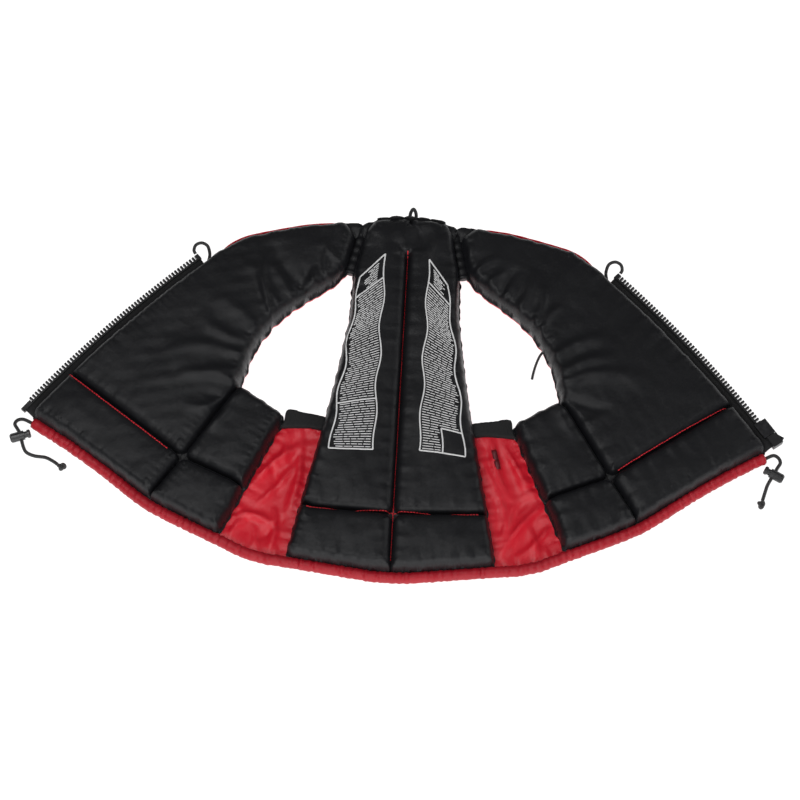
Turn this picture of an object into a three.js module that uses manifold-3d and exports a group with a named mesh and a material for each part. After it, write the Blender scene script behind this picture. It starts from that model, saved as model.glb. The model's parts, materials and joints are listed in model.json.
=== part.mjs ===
// A front-zip buoyancy vest, opened and spread out flat with its lining upwards.
// Millimetres. +X runs to the right, +Y up the back to the collar, +Z up from the surface it
// lies on. The origin is in the middle of the back, on the underside of its shell.

import * as THREE from 'three';
import { mergeVertices } from 'three/addons/utils/BufferGeometryUtils.js';
import Module from 'manifold-3d';

// overall sizes
const spreadWidth = 836;          // hem end to hem end
const backLength = 421;           // collar edge to hem seam, down the middle of the back

// cloth, foam and seams
const clothThick = 1.2;
const layerGap = 0.3;             // between pieces that touch
const foamThick = 30;
const strapFoamThick = 25;
const seamHalf = 3;               // seam line to the edge of the foam beside it
const padRun = 11;                // a foam slab's bevel, measured inwards
const padRise = 10;               // the same bevel, measured upwards
const foldGap = 3;                // cloth stops this far each side of a fold line
const strapSetBack = 15;          // fold line to the strap foam
const yokeSetBack = 12;           // fold line to the back foam
const bindingThick = 3;
const bindingHeight = 15;          // of the elastic on the side panel's armhole edge
const collarBindingHeight = 9;

// hem casing and its drawcord
const cordThick = 4;
const casingWide = 10;
const casingTall = 14;
const casingLift = 0.6;           // its underside above the surface
const casingOffset = 3.8;         // hem seam to the middle of the casing
const hemFoldGap = 0.45;          // the casing stops this far each side of a fold line

// zip
const zipSagitta = 6;             // how far the zip edge bows outwards
const tapeInset = 14;             // tooth line to the edge of the padded front
const tapeThick = 1.2;
const toothPitch = 4.25;
const toothWidth = 2.3;
const toothReach = 5.2;
const toothThick = 4.4;
const beadWidth = 2;              // the moulded bead that the teeth stand on
const zipFootLength = 14;         // the pin or the box, below the tooth line
const stopLength = 5;
const sliderLength = 19;
const sliderHalfWidth = 7.5;
const sliderPlate = 1.6;
const sliderSlit = 1.8;           // the slot that the tape runs through
const runClear = 0.5;
const pullerLength = 24;
const pullerWidth = 9.6;
const pullerSkew = (25 * Math.PI) / 180;
const pullerThick = 2;
const waistAlong = 52;            // foot of the zip to the waist seam, along the tooth line

// cord locks
const barrelLength = 16;
const boreRadius = 4;
const barrelWall = 1.3;
const barrelRadius = boreRadius + barrelWall;
const barrelFloor = 1.5;
const stemGap = 0.35;
const stemRadius = boreRadius - stemGap;
const headRadius = 4.8;
const headLength = 3.6;
const pressTravel = 3.2;
const crossDepth = 4.2;           // barrel mouth to the middle of its cord hole
const stemDepth = 8.6;            // barrel mouth to the inner end of the stem
const springWire = 0.7;
const springTurns = 3;

// loops of cord sewn into the seams
const loopCord = 4;
const loopSpan = 7;
const armholeCordThick = 3;

// The pattern below is drawn at these sizes and graded to the overall sizes.
const patternWidth = 836;
const patternLength = 421;
const graded = (x, y) =>
  new THREE.Vector2((x * spreadWidth) / patternWidth, (y * backLength) / patternLength);

const midHeight = clothThick + layerGap + foamThick / 2;   // the seams lie at half height
const foamFloor = clothThick + layerGap;
const webInner = layerGap / 2;
const webOuter = webInner + clothThick;
const skinGrow = layerGap + clothThick;

// fold line of the right front: from the shoulder seam to the hem in the side panel
const foldShoulder = graded(59, 177);
const foldHem = graded(137, -188);
const foldX = (y) =>
  foldShoulder.x +
  ((foldHem.x - foldShoulder.x) * (y - foldShoulder.y)) / (foldHem.y - foldShoulder.y);
const besideFold = (y, away) => new THREE.Vector2(foldX(y) + away, y);

// corners shared by neighbouring pieces, right half
const cross = graded(234, -91);               // where the front's two seams cross
const armCorner = graded(179, 0);             // lowest corner of the armhole on the front
const frontSideTop = graded(125, -33);
const frontSideSeam = graded(163, -121);
const frontSideHem = graded(187, -176);
const frontHemSeam = graded(266, -140);
const backSideTop = graded(84, -42);
const backSideSeam = graded(104, -141.5);
const backHemCorner = graded(114, -197);
const backSeamMiddle = graded(0, -146);
const hemMiddle = graded(0, -210);
const collarMiddle = graded(0, 211);
const yokeNeckY = graded(0, 203).y;
const yokeArmY = graded(0, 150).y;
const neckMid = graded(150, 190);             // strap foam meets chest foam
const armholeMid = graded(127, 100);


// the zip's tooth line is an arc; out is measured away from the front's padding
const zipFoot = graded(410, -30);
const zipHead = graded(239, 161);
const zipChord = zipHead.clone().sub(zipFoot);
const zipRadius = (zipChord.lengthSq() / 4 + zipSagitta ** 2) / (2 * zipSagitta);
const zipOutward = new THREE.Vector2(zipChord.y, -zipChord.x).normalize();
const zipCentre = zipFoot.clone().add(zipHead).multiplyScalar(0.5)
  .addScaledVector(zipOutward, zipSagitta - zipRadius);
const zipFootAngle = zipFoot.clone().sub(zipCentre).angle();
const zipLength = zipRadius * (zipHead.clone().sub(zipCentre).angle() - zipFootAngle);
const zipAngle = (along) => zipFootAngle + along / zipRadius;
function zipPoint(along, out) {
  const angle = zipAngle(along);
  const reach = zipRadius + out;
  return new THREE.Vector2(
    zipCentre.x + reach * Math.cos(angle), zipCentre.y + reach * Math.sin(angle));
}
function zipRun(from, to, out, steps) {
  const points = [];
  for (let i = 0; i <= steps; i++) points.push(zipPoint(from + ((to - from) * i) / steps, out));
  return points;
}
const padEdge = -tapeInset;
const padHead = zipLength + 8;     // the padding's upper corner, past the top of the teeth

// long edges that several pieces follow
const armhole = [armCorner, graded(174, 14), graded(170, 34), graded(160, 58), graded(146, 80)];
const armholeUpper = [graded(105, 117), graded(84, 132)];
const neck = [graded(186, 180)];
const neckUpper = [graded(84, 202), graded(114, 199)];
const backSide = [backSideTop, graded(73.5, 17), graded(63, 91)];
const hemLine = [hemMiddle, graded(66, -203), backHemCorner, graded(150, -192), frontSideHem,
  frontHemSeam, graded(309, -109), graded(358, -76), zipPoint(-zipFootLength + 2, padEdge)];
const hemCurve = new THREE.SplineCurve([graded(-66, -203), ...hemLine]);

// ---- geometry helpers ----

const wasm = await Module();
wasm.setup();

function toSolid(geometry) {
  const bare = geometry.clone();
  bare.deleteAttribute('normal');
  bare.deleteAttribute('uv');
  const merged = mergeVertices(bare, 1e-4);
  return new wasm.Manifold(new wasm.Mesh({
    numProp: 3,
    vertProperties: merged.attributes.position.array,
    triVerts: new Uint32Array(merged.index.array),
  }));
}

function toGeometry(solid) {
  const mesh = solid.getMesh();
  const geometry = new THREE.BufferGeometry();
  geometry.setAttribute('position', new THREE.BufferAttribute(mesh.vertProperties, 3));
  geometry.setIndex(new THREE.BufferAttribute(mesh.triVerts, 1));
  geometry.computeVertexNormals();
  return geometry;
}

const joined = (geometries) => geometries.map(toSolid).reduce((a, b) => a.add(b));
const cutAway = (base, tools) => toGeometry(tools.reduce((a, b) => a.subtract(b), base));

// A closed outline moved inwards by a distance, with mitred corners.
function inset(points, distance) {
  const turn = THREE.ShapeUtils.area(points) > 0 ? 1 : -1;
  return points.map((point, i) => {
    const before = points[(i + points.length - 1) % points.length];
    const after = points[(i + 1) % points.length];
    const a = point.clone().sub(before).normalize();
    const b = after.clone().sub(point).normalize();
    const normal = new THREE.Vector2(-a.y - b.y, a.x + b.x).multiplyScalar(turn);
    const bend = 1 + a.dot(b);
    return point.clone().addScaledVector(normal, distance / bend);
  });
}

// A flat sheet with this outline between two heights.
function sheet(points, low, high) {
  return new THREE.ExtrudeGeometry(new THREE.Shape(points), {
    depth: high - low, bevelEnabled: false, steps: 1,
  }).translate(0, 0, low);
}

// A slab with bevelled edges, made of rings of the outline with a flat cap at each end;
// grow makes it larger all round for a skin about it.
function pillow(points, low, high, grow) {
  const outline = THREE.ShapeUtils.area(points) > 0 ? points : [...points].reverse();
  const rings = [
    [low - grow, padRun - grow], [low - grow + padRise, -grow],
    [high + grow - padRise, -grow], [high + grow, padRun - grow],
  ].map(([height, inwards]) =>
    inset(outline, inwards).map((point) => new THREE.Vector3(point.x, point.y, height)));
  const count = outline.length;
  const faces = [];
  for (let ring = 0; ring < rings.length - 1; ring++) {
    for (let i = 0; i < count; i++) {
      const here = ring * count + i;
      const next = ring * count + ((i + 1) % count);
      faces.push(here, next, next + count, here, next + count, here + count);
    }
  }
  const top = (rings.length - 1) * count;
  for (const [a, b, c] of THREE.ShapeUtils.triangulateShape(inset(outline, padRun - grow), [])) {
    faces.push(a, c, b, top + a, top + b, top + c);
  }
  return new THREE.BufferGeometry().setFromPoints(rings.flat()).setIndex(faces);
}

// A tube or bar of any section along a smooth curve through the points.
function swept(points, section, steps) {
  return new THREE.ExtrudeGeometry(section, {
    steps,
    bevelEnabled: false,
    extrudePath: new THREE.CatmullRomCurve3(points, false, 'centripetal'),
  });
}

function ovalPath(target, halfTall, halfWide, sides, backwards) {
  for (let i = 0; i < sides; i++) {
    const angle = ((backwards ? -i : i) * 2 * Math.PI) / sides;
    const x = halfTall * Math.cos(angle);
    const y = halfWide * Math.sin(angle);
    if (i === 0) target.moveTo(x, y);
    else target.lineTo(x, y);
  }
  target.closePath();
  return target;
}

const roundSection = (radius, sides) =>
  ovalPath(new THREE.Shape(), radius, radius, sides, false);

function boxBetween(x0, x1, y0, y1, z0, z1) {
  return new THREE.BoxGeometry(x1 - x0, y1 - y0, z1 - z0)
    .translate((x0 + x1) / 2, (y0 + y1) / 2, (z0 + z1) / 2);
}

function mirrored(geometry) {
  const flipped = geometry.clone().scale(-1, 1, 1);
  if (!flipped.index) flipped.setIndex([...Array(flipped.attributes.position.count).keys()]);
  const order = flipped.index.array;
  for (let i = 0; i < order.length; i += 3) {
    [order[i + 1], order[i + 2]] = [order[i + 2], order[i + 1]];
  }
  flipped.computeVertexNormals();
  return flipped;
}

// ---- the scene graph ----

const group = new THREE.Group();

const colours = {
  lining: [0x17171a, 0.62, 0],
  shell: [0xc01f33, 0.55, 0],
  foam: [0xd9d6cc, 0.9, 0],
  binding: [0x0e0e10, 0.8, 0],
  cord: [0x141416, 0.75, 0],
  tape: [0x101012, 0.8, 0],
  moulded: [0x1b1b1d, 0.4, 0],
  metal: [0x3c3c3f, 0.35, 0.9],
};

function addPiece(name, geometry, colour) {
  const [color, roughness, metalness] = colours[colour];
  const mesh = new THREE.Mesh(
    geometry, new THREE.MeshStandardMaterial({ color, roughness, metalness }));
  mesh.name = name;
  group.add(mesh);
}

// the same piece on the right (drawn) and on the left (mirrored)
function addPair(name, geometry, colour) {
  addPiece(`right_${name}`, geometry, colour);
  addPiece(`left_${name}`, mirrored(geometry), colour);
}

// ---- padded cells: foam slabs in pockets of shell and lining ----

const foamTop = foamFloor + foamThick;

function foamSlab(outline, thick) {
  return pillow(inset(outline, seamHalf), foamFloor, foamFloor + thick, 0);
}

// The shell is one shallow tray of cloth under the whole panel, with a flat seam edge.
function shellCloth(outline) {
  const edge = inset(outline, seamHalf);
  const tray = toSolid(pillow(edge, foamFloor, foamTop, skinGrow));
  const web = toSolid(sheet(outline, midHeight - webOuter, midHeight - webInner));
  const hollow = toSolid(pillow(edge, foamFloor, foamTop, layerGap));
  const above = toSolid(boxBetween(
    -spreadWidth, spreadWidth, -spreadWidth, spreadWidth, midHeight - webInner, 2 * foamTop));
  return cutAway(tray.add(web), [hollow, above]);
}

// The lining has a raised pocket over every cell, joined by flat seams between them.
function liningCloth(outline, cells) {
  const pockets = cells.map(([cell, thick]) =>
    toSolid(pillow(inset(cell, seamHalf), foamFloor, foamFloor + thick, skinGrow)));
  const hollows = cells.map(([cell, thick]) =>
    toSolid(pillow(inset(cell, seamHalf), foamFloor, foamFloor + thick, layerGap)));
  const web = toSolid(sheet(outline, midHeight + webInner, midHeight + webOuter));
  const below = toSolid(boxBetween(
    -spreadWidth, spreadWidth, -spreadWidth, spreadWidth, -foamTop, midHeight + webInner));
  return cutAway(pockets.reduce((a, b) => a.add(b), web), [...hollows, below]);
}

// back panel
const backHalf = [
  collarMiddle, graded(32, 209), besideFold(yokeNeckY, -foldGap), besideFold(yokeArmY, -foldGap),
  ...[...backSide].reverse(), backSideSeam, backHemCorner, hemLine[1], hemMiddle,
];
const flipX = (point) => new THREE.Vector2(-point.x, point.y);
const backOutline = [...backHalf, ...backHalf.slice(1, -1).reverse().map(flipX)];
const backColumn = [
  backSeamMiddle, backSideSeam, ...backSide,
  besideFold(yokeArmY, -yokeSetBack), besideFold(graded(0, 194).y, -yokeSetBack),
  graded(24, 207), graded(0, 209),
];
const backLower = [backSeamMiddle, backSideSeam, backHemCorner, hemLine[1], hemMiddle];
const backCells = [[backColumn, foamThick], [backLower, foamThick]];

addPiece('back_shell', shellCloth(backOutline), 'shell');
addPiece('back_lining', liningCloth(backOutline,
  [...backCells, ...backCells.map(([cell, thick]) => [cell.map(flipX), thick])]), 'lining');
addPair('back_column_foam', foamSlab(backColumn, foamThick), 'foam');
addPair('back_lower_foam', foamSlab(backLower, foamThick), 'foam');

// fronts
const strapArmPoint = besideFold(graded(0, 140).y, strapSetBack);
const strapNeckPoint = besideFold(graded(0, 201).y, strapSetBack);
const frontOutline = [
  besideFold(yokeNeckY, foldGap), ...neckUpper, neckMid, ...neck,
  ...zipRun(padHead, -zipFootLength + 2, padEdge, 6),
  hemLine[7], hemLine[6], frontHemSeam, frontSideHem, frontSideSeam, frontSideTop,
  ...armhole, armholeMid, ...armholeUpper, besideFold(yokeArmY, foldGap),
];
const chestCell = [
  cross, ...zipRun(waistAlong, padHead, padEdge, 4), ...neck,
  neckMid, armholeMid, ...[...armhole].reverse(),
];
const strapCell = [
  neckMid, neckUpper[1], strapNeckPoint, strapArmPoint, armholeUpper[0], armholeMid,
];
const stripCell = [
  cross, zipPoint(waistAlong, padEdge), zipPoint(-zipFootLength + 2, padEdge),
  hemLine[7], hemLine[6], frontHemSeam,
];
const sideUpperCell = [armCorner, cross, frontSideSeam, frontSideTop];
const sideLowerCell = [frontSideSeam, cross, frontHemSeam, frontSideHem];

addPair('front_shell', shellCloth(frontOutline), 'shell');
addPair('front_lining', liningCloth(frontOutline, [
  [chestCell, foamThick], [strapCell, strapFoamThick], [stripCell, foamThick],
  [sideUpperCell, foamThick], [sideLowerCell, foamThick],
]), 'lining');
addPair('chest_foam', foamSlab(chestCell, foamThick), 'foam');
addPair('strap_foam', foamSlab(strapCell, strapFoamThick), 'foam');
addPair('waist_strip_foam', foamSlab(stripCell, foamThick), 'foam');
addPair('side_upper_foam', foamSlab(sideUpperCell, foamThick), 'foam');
addPair('side_lower_foam', foamSlab(sideLowerCell, foamThick), 'foam');

// ---- side panels and their elastic binding, each in two parts that meet at the fold ----

const downEdge = (top, bottom) =>
  top.clone().lerp(bottom, bindingHeight / top.distanceTo(bottom));
const bindingLow = {
  back: downEdge(backSideTop, backSideSeam),
  front: downEdge(frontSideTop, frontSideSeam),
};
const bindingTop = graded(124, -20);

function clothPart(outline, thick) {
  return sheet(inset(outline, layerGap), midHeight - thick / 2, midHeight + thick / 2);
}

const foldTop = graded(0, -33);
const foldBand = graded(0, -49);
const foldFoot = graded(0, -192);
addPair('side_panel_back', clothPart([
  bindingLow.back, backSideSeam, backHemCorner, besideFold(foldFoot.y, -foldGap),
  besideFold(foldBand.y, -foldGap),
], clothThick), 'shell');
addPair('side_panel_front', clothPart([
  bindingLow.front, frontSideSeam, frontSideHem, besideFold(foldFoot.y, foldGap),
  besideFold(foldBand.y, foldGap),
], clothThick), 'shell');
addPair('side_binding_back', clothPart([
  backSideTop, bindingLow.back, besideFold(foldBand.y, -foldGap), besideFold(foldTop.y, -foldGap),
], bindingThick), 'binding');
addPair('side_binding_front', clothPart([
  frontSideTop, bindingLow.front, besideFold(foldBand.y, foldGap),
  besideFold(foldTop.y, foldGap), bindingTop,
], bindingThick), 'binding');

// ---- collar binding, with the hanging loop sewn through it ----

const collarEnd = foldX(yokeNeckY) - foldGap - bindingThick;
const collarBand = (distance, reach) => toSolid(sheet(inset(backOutline, -distance),
  midHeight - collarBindingHeight / 2 - reach, midHeight + collarBindingHeight / 2 + reach));
const besideCollar = [1, -1].map((side) => toSolid(boxBetween(
  side > 0 ? collarEnd : -spreadWidth, side > 0 ? spreadWidth : -collarEnd,
  -backLength, backLength, 0, 2 * midHeight)));
const belowCollar = toSolid(boxBetween(
  -spreadWidth, spreadWidth, -backLength, yokeArmY, 0, 2 * midHeight));
addPiece('collar_binding', cutAway(collarBand(layerGap + bindingThick, 0),
  [collarBand(layerGap, 1), ...besideCollar, belowCollar]), 'binding');

const loopFoot = collarMiddle.y + bindingThick + 2.5 * layerGap;
const loopMiddle = graded(3.5, 0).x;
addPiece('hanging_loop', swept([
  [-1, 0, -1], [-1, 5, 0], [-0.9, 12, 5], [0, 16, 8], [0.9, 12, 5], [1, 5, 0], [1, 0, -1],
].map(([side, out, up]) => new THREE.Vector3(
  loopMiddle + (side * loopSpan) / 2, loopFoot + out, midHeight + up)),
roundSection(loopCord / 2, 8), 16), 'cord');

// ---- hem casing with the drawcord inside ----

const casingMiddle = casingLift + casingTall / 2;
const cordInHem = casingLift + clothThick + layerGap + cordThick / 2;

// Points along the hem between two values of x, moved out past the seam.
function hemRun(fromX, toX, height, steps) {
  const points = [];
  for (let i = 0; i <= steps; i++) {
    const x = fromX + ((toX - fromX) * i) / steps;
    const right = Math.abs(x);
    let low = 0;
    let high = 1;
    for (let k = 0; k < 24; k++) {
      const half = (low + high) / 2;
      if (hemCurve.getPoint(half).x < right) low = half;
      else high = half;
    }
    const point = hemCurve.getPoint(low);
    const along = hemCurve.getTangent(low);
    points.push(new THREE.Vector3(
      Math.sign(x) * (point.x + along.y * casingOffset), point.y - along.x * casingOffset, height));
  }
  return points;
}

const hemFold = foldX(foldFoot.y);
const hemEnd = hemLine[8].x - 1;
function casing(points, steps) {
  const section = ovalPath(new THREE.Shape(), casingTall / 2, casingWide / 2, 10, false);
  section.holes.push(ovalPath(
    new THREE.Path(), casingTall / 2 - clothThick, casingWide / 2 - clothThick, 10, true));
  return swept(points, section, steps);
}
// Below the fold line the two parts only swing apart, so the casing's ends may almost touch.
const backHem = (height) => hemRun(-hemFold + hemFoldGap, hemFold - hemFoldGap, height, 9);
const frontHem = (height) => hemRun(hemFold + hemFoldGap, hemEnd, height, 12);
addPiece('back_hem_casing', casing(backHem(casingMiddle), 9), 'shell');
addPiece('back_hem_cord', swept(backHem(cordInHem), roundSection(cordThick / 2, 8), 9), 'cord');
addPair('hem_casing', casing(frontHem(casingMiddle), 13), 'shell');
addPair('hem_cord', swept(frontHem(cordInHem), roundSection(cordThick / 2, 8), 13), 'cord');

// ---- zip ----

// Puts a piece drawn with x outwards, y up the zip and z up at its place on the tooth line.
function onZip(geometry, along) {
  const foot = zipPoint(along, 0);
  return geometry.rotateZ(zipAngle(along)).translate(foot.x, foot.y, midHeight);
}

const toothRoot = -toothReach / 2;
const beadInner = toothRoot - beadWidth;
const tapeOuter = beadInner - layerGap;
addPair('zip_tape', sheet([
  ...zipRun(-zipFootLength + 2, zipLength + 3, padEdge + layerGap, 8),
  ...zipRun(zipLength + 3, -zipFootLength + 2, tapeOuter, 8),
], midHeight - tapeThick / 2, midHeight + tapeThick / 2), 'tape');

function teethRow() {
  const first = layerGap;
  const last = zipLength - stopLength - layerGap;
  const outline = [zipPoint(first, beadInner)];
  for (let at = first + 1; at + toothWidth < last; at += toothPitch) {
    outline.push(zipPoint(at, toothRoot), zipPoint(at, -toothRoot),
      zipPoint(at + toothWidth, -toothRoot), zipPoint(at + toothWidth, toothRoot));
  }
  outline.push(zipPoint(last, toothRoot), ...zipRun(last, first, beadInner, 8).slice(0, -1));
  return sheet(outline, midHeight - toothThick / 2, midHeight + toothThick / 2);
}
addPair('zip_teeth', teethRow(), 'moulded');
addPair('zip_top_stop', onZip(boxBetween(
  beadInner, -toothRoot, -stopLength, 0, -toothThick / 2, toothThick / 2), zipLength), 'moulded');

// left: insertion pin; right: the box it goes into
addPiece('left_zip_pin', mirrored(onZip(boxBetween(
  beadInner, 0.6, -zipFootLength, 0, -toothThick / 2, toothThick / 2), 0)), 'moulded');
const boxHalf = toothThick / 2 + runClear + sliderPlate;
const pinWell = toSolid(boxBetween(
  1.2, sliderHalfWidth - 1.6, -zipFootLength + 2, 1, -toothThick / 2, toothThick / 2));
const boxBody = toSolid(boxBetween(
  beadInner, sliderHalfWidth, -zipFootLength, -layerGap, -boxHalf, boxHalf));
addPiece('right_zip_box', onZip(cutAway(boxBody, [pinWell]), 0), 'moulded');

// The slider's two plates are joined by a post at its upper end, outside the row of teeth.
const plateInner = toothThick / 2 + runClear;
const plateOuter = plateInner + sliderPlate;
const sliderBack = -sliderHalfWidth;
const earHalf = 1.2;
const pullerPivot = { along: 10.5, down: plateOuter + 1.8 };
const earReach = pullerPivot.down + 3.2;
function slider() {
  const top = boxBetween(sliderBack, sliderHalfWidth, 0, sliderLength, plateInner, plateOuter);
  const bottom = top.clone().translate(0, 0, -plateInner - plateOuter);
  const post = boxBetween(-toothRoot + runClear, sliderHalfWidth, sliderLength - 6, sliderLength,
    -plateOuter, plateOuter);
  const flanges = [1, -1].map((side) => boxBetween(
    sliderBack, beadInner - runClear, 0, sliderLength,
    side > 0 ? sliderSlit / 2 : -plateOuter, side > 0 ? plateOuter : -sliderSlit / 2));
  const ear = boxBetween(-earHalf, earHalf, 6, 15, -earReach, -plateInner - layerGap);
  const earHole = toSolid(boxBetween(-2 * earHalf, 2 * earHalf, pullerPivot.along - 2,
    pullerPivot.along + 2, -pullerPivot.down - 1.6, -pullerPivot.down + 1.6));
  return cutAway(joined([top, bottom, post, ...flanges, ear]), [earHole]);
}
const sliderRest = layerGap;
addPiece('right_zip_slider', onZip(slider(), sliderRest), 'metal');

// The puller's eye goes round the ear. It lies along the slider's outer side, askew, so that
// its end shows past the slider's edge.
const barWidth = 1.7;
function puller() {
  const eyeHalf = pullerWidth / 2 - barWidth;
  const outline = new THREE.Shape([
    [-pullerWidth / 2, barWidth / 2], [pullerWidth / 2, barWidth / 2],
    [pullerWidth / 2, -pullerLength], [-pullerWidth / 2, -pullerLength],
  ].map(([x, y]) => new THREE.Vector2(x, y)));
  outline.holes.push(new THREE.Path([
    [-eyeHalf, -barWidth / 2], [-eyeHalf, -9], [eyeHalf, -9], [eyeHalf, -barWidth / 2],
  ].map(([x, y]) => new THREE.Vector2(x, y))));
  return new THREE.ExtrudeGeometry(outline, { depth: pullerThick, bevelEnabled: false })
    .translate(0, 0, -pullerThick / 2).rotateZ(pullerSkew)
    .translate(0, pullerPivot.along, -pullerPivot.down);
}
addPiece('right_zip_puller', onZip(puller(), sliderRest), 'metal');

// a small loop of cord at each zip's upper end, past the reach of the slider
const zipLoopFoot = zipPoint(zipLength - 3, 0);
const loopOut = toothReach / 2 + loopCord / 2 - layerGap;
addPair('zip_loop', swept([
  [0, 1, 1], [4, 1.5, 3], [6.5, 5, 6], [6, 10.5, 6], [1.5, 13.5, 3], [-3, 12, 1],
].map(([out, along, up]) => {
  const direction = zipAngle(zipLength);
  return new THREE.Vector3(
    zipLoopFoot.x + (out + loopOut) * Math.cos(direction) - along * Math.sin(direction),
    zipLoopFoot.y + (out + loopOut) * Math.sin(direction) + along * Math.cos(direction),
    midHeight + up);
}), roundSection(loopCord / 2, 8), 14), 'cord');

// ---- cord locks: barrel, sprung plunger and spring, the cord crossing through ----

// Drawn with the barrel's mouth at the origin, its closed end towards -x and the cord along y.
function lockParts() {
  const lathed = (profile) => new THREE.LatheGeometry(
    profile.map(([r, x]) => new THREE.Vector2(r, x)), 16).rotateZ(-Math.PI / 2);
  const barrel = toSolid(lathed([
    [0, -barrelLength], [barrelRadius - 1.6, -barrelLength], [barrelRadius, -barrelLength + 1.6],
    [barrelRadius, 0], [boreRadius, 0], [boreRadius, -barrelLength + barrelFloor],
    [0, -barrelLength + barrelFloor],
  ]));
  const holeRadius = cordThick / 2 + layerGap;
  const crossHole = toSolid(new THREE.CylinderGeometry(holeRadius, holeRadius, 30, 12)
    .translate(-crossDepth, 0, 0));
  const plunger = toSolid(lathed([
    [0, -stemDepth], [stemRadius, -stemDepth], [stemRadius, pressTravel + layerGap],
    [headRadius, pressTravel + layerGap], [headRadius, pressTravel + layerGap + headLength - 1],
    [headRadius - 1, pressTravel + layerGap + headLength],
    [0, pressTravel + layerGap + headLength],
  ]));
  const slot = toSolid(new THREE.CylinderGeometry(holeRadius, holeRadius, 30, 12)
    .translate(-crossDepth, 0, 0)).add(toSolid(boxBetween(
    -crossDepth, -crossDepth + pressTravel, -15, 15, -holeRadius, holeRadius))).add(
    toSolid(new THREE.CylinderGeometry(holeRadius, holeRadius, 30, 12)
      .translate(-crossDepth + pressTravel, 0, 0)));
  const springStart = -barrelLength + barrelFloor + layerGap + springWire / 2;
  const springEnd = -stemDepth - layerGap - springWire / 2;
  const coil = [];
  for (let i = 0; i <= springTurns * 8; i++) {
    const angle = (i * Math.PI) / 4;
    coil.push(new THREE.Vector3(
      springStart + ((springEnd - springStart) * i) / (springTurns * 8),
      (boreRadius - 1.1) * Math.cos(angle), (boreRadius - 1.1) * Math.sin(angle)));
  }
  return {
    barrel: cutAway(barrel, [crossHole]),
    plunger: cutAway(plunger, [slot]),
    spring: swept(coil, roundSection(springWire / 2, 5), springTurns * 8),
  };
}

const lockHeight = barrelRadius + 0.5;
function addLock(side, crossing, cordDirection, turn) {
  const angle = Math.atan2(cordDirection[1], cordDirection[0]) + turn;
  for (const [part, geometry] of Object.entries(lockParts())) {
    geometry.translate(crossDepth, 0, 0).rotateZ(angle)
      .translate(crossing[0], crossing[1], lockHeight);
    addPiece(`${side}_cord_lock_${part}`, geometry, part === 'spring' ? 'metal' : 'moulded');
  }
}

// ---- free cord ends ----

const cordEndExit = (side) => {
  const end = hemRun(side * hemEnd, side * hemEnd, cordInHem, 1)[0];
  const away = hemCurve.getTangent(1);
  return new THREE.Vector3(side * (Math.abs(end.x) + away.x * layerGap),
    end.y + away.y * layerGap, cordInHem);
};

// Each route is chosen by hand: out of the casing, through the lock and on to the knot. Its x and
// y run from the end of the casing, and z is the height above the surface that it lies on.
const leftRoute = [
  [-10.1, 4.1, 4.4], [-16.6, 2.6, 5], [-19.1, -2.4, 5.6], [-15.7, -7.9, lockHeight],
  [-12.3, -12.7, lockHeight], [-9.6, -20.2, lockHeight], [-6.2, -29.6, lockHeight], [-2.1, -35.4, 4.4],
  [6.9, -38.4, 2.8], [19, -39.4, 2.3], [27.9, -43.4, 2.3], [33.4, -46.9, 2.3],
];
const rightRoute = [
  [8.6, 4, 4.4], [14.1, 1.2, 5], [16.1, -4.9, 5.6], [12.9, -10.9, lockHeight], [10.3, -15.7, lockHeight],
  [6.5, -22.7, lockHeight], [1.7, -31.6, lockHeight], [-0.3, -37.4, 4.4], [-2.3, -44.4, 2.6],
  [-3.7, -48.9, 2.3],
];
const leftCrossing = [-10.9, -16.5];
const rightCrossing = [8.4, -19.2];

function addCordEnd(side, route, direction, lockCrossing, turn) {
  const sign = side === 'left' ? -1 : 1;
  const exit = cordEndExit(sign);
  const points = [exit, ...route.map(([x, y, z]) => new THREE.Vector3(exit.x + x, exit.y + y, z))];
  addPiece(`${side}_cord_end`, swept(points, roundSection(cordThick / 2, 8), 26), 'cord');
  const last = points[points.length - 1];
  const heading = last.clone().sub(points[points.length - 2]).setZ(0).normalize();
  const knotHalf = cordThick * 1.15;
  const knot = new THREE.SphereGeometry(1, 10, 8).scale(knotHalf * 1.25, knotHalf, knotHalf * 0.9)
    .rotateZ(Math.atan2(heading.y, heading.x))
    .translate(last.x + heading.x * (knotHalf * 1.25 + layerGap),
      last.y + heading.y * (knotHalf * 1.25 + layerGap), knotHalf * 0.9 + 0.1);
  addPiece(`${side}_cord_knot`, knot, 'cord');
  addLock(side, [exit.x + lockCrossing[0], exit.y + lockCrossing[1]], direction, turn);
}
addCordEnd('left', leftRoute, [3.4, -9.4], leftCrossing, Math.PI / 2);
addCordEnd('right', rightRoute, [-4.8, -8.9], rightCrossing, -Math.PI / 2);

// the end of the right armhole's cord, hanging into the armhole
const armholeExit = graded(158.3, 59.5);
addPiece('armhole_cord_end', swept([
  [0, 0, 0], [-3.5, -5, -2], [-7, -13, -7], [-9.5, -22, -11.5], [-10.5, -28, -13.4],
].map(([x, y, z]) => new THREE.Vector3(armholeExit.x + x - 1, armholeExit.y + y, midHeight + z)),
roundSection(armholeCordThick / 2, 8), 10), 'cord');

export default group;
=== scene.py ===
import json
import math

import bmesh
import bpy
import numpy as np
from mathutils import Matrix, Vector
from mathutils.geometry import delaunay_2d_cdt


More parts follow.
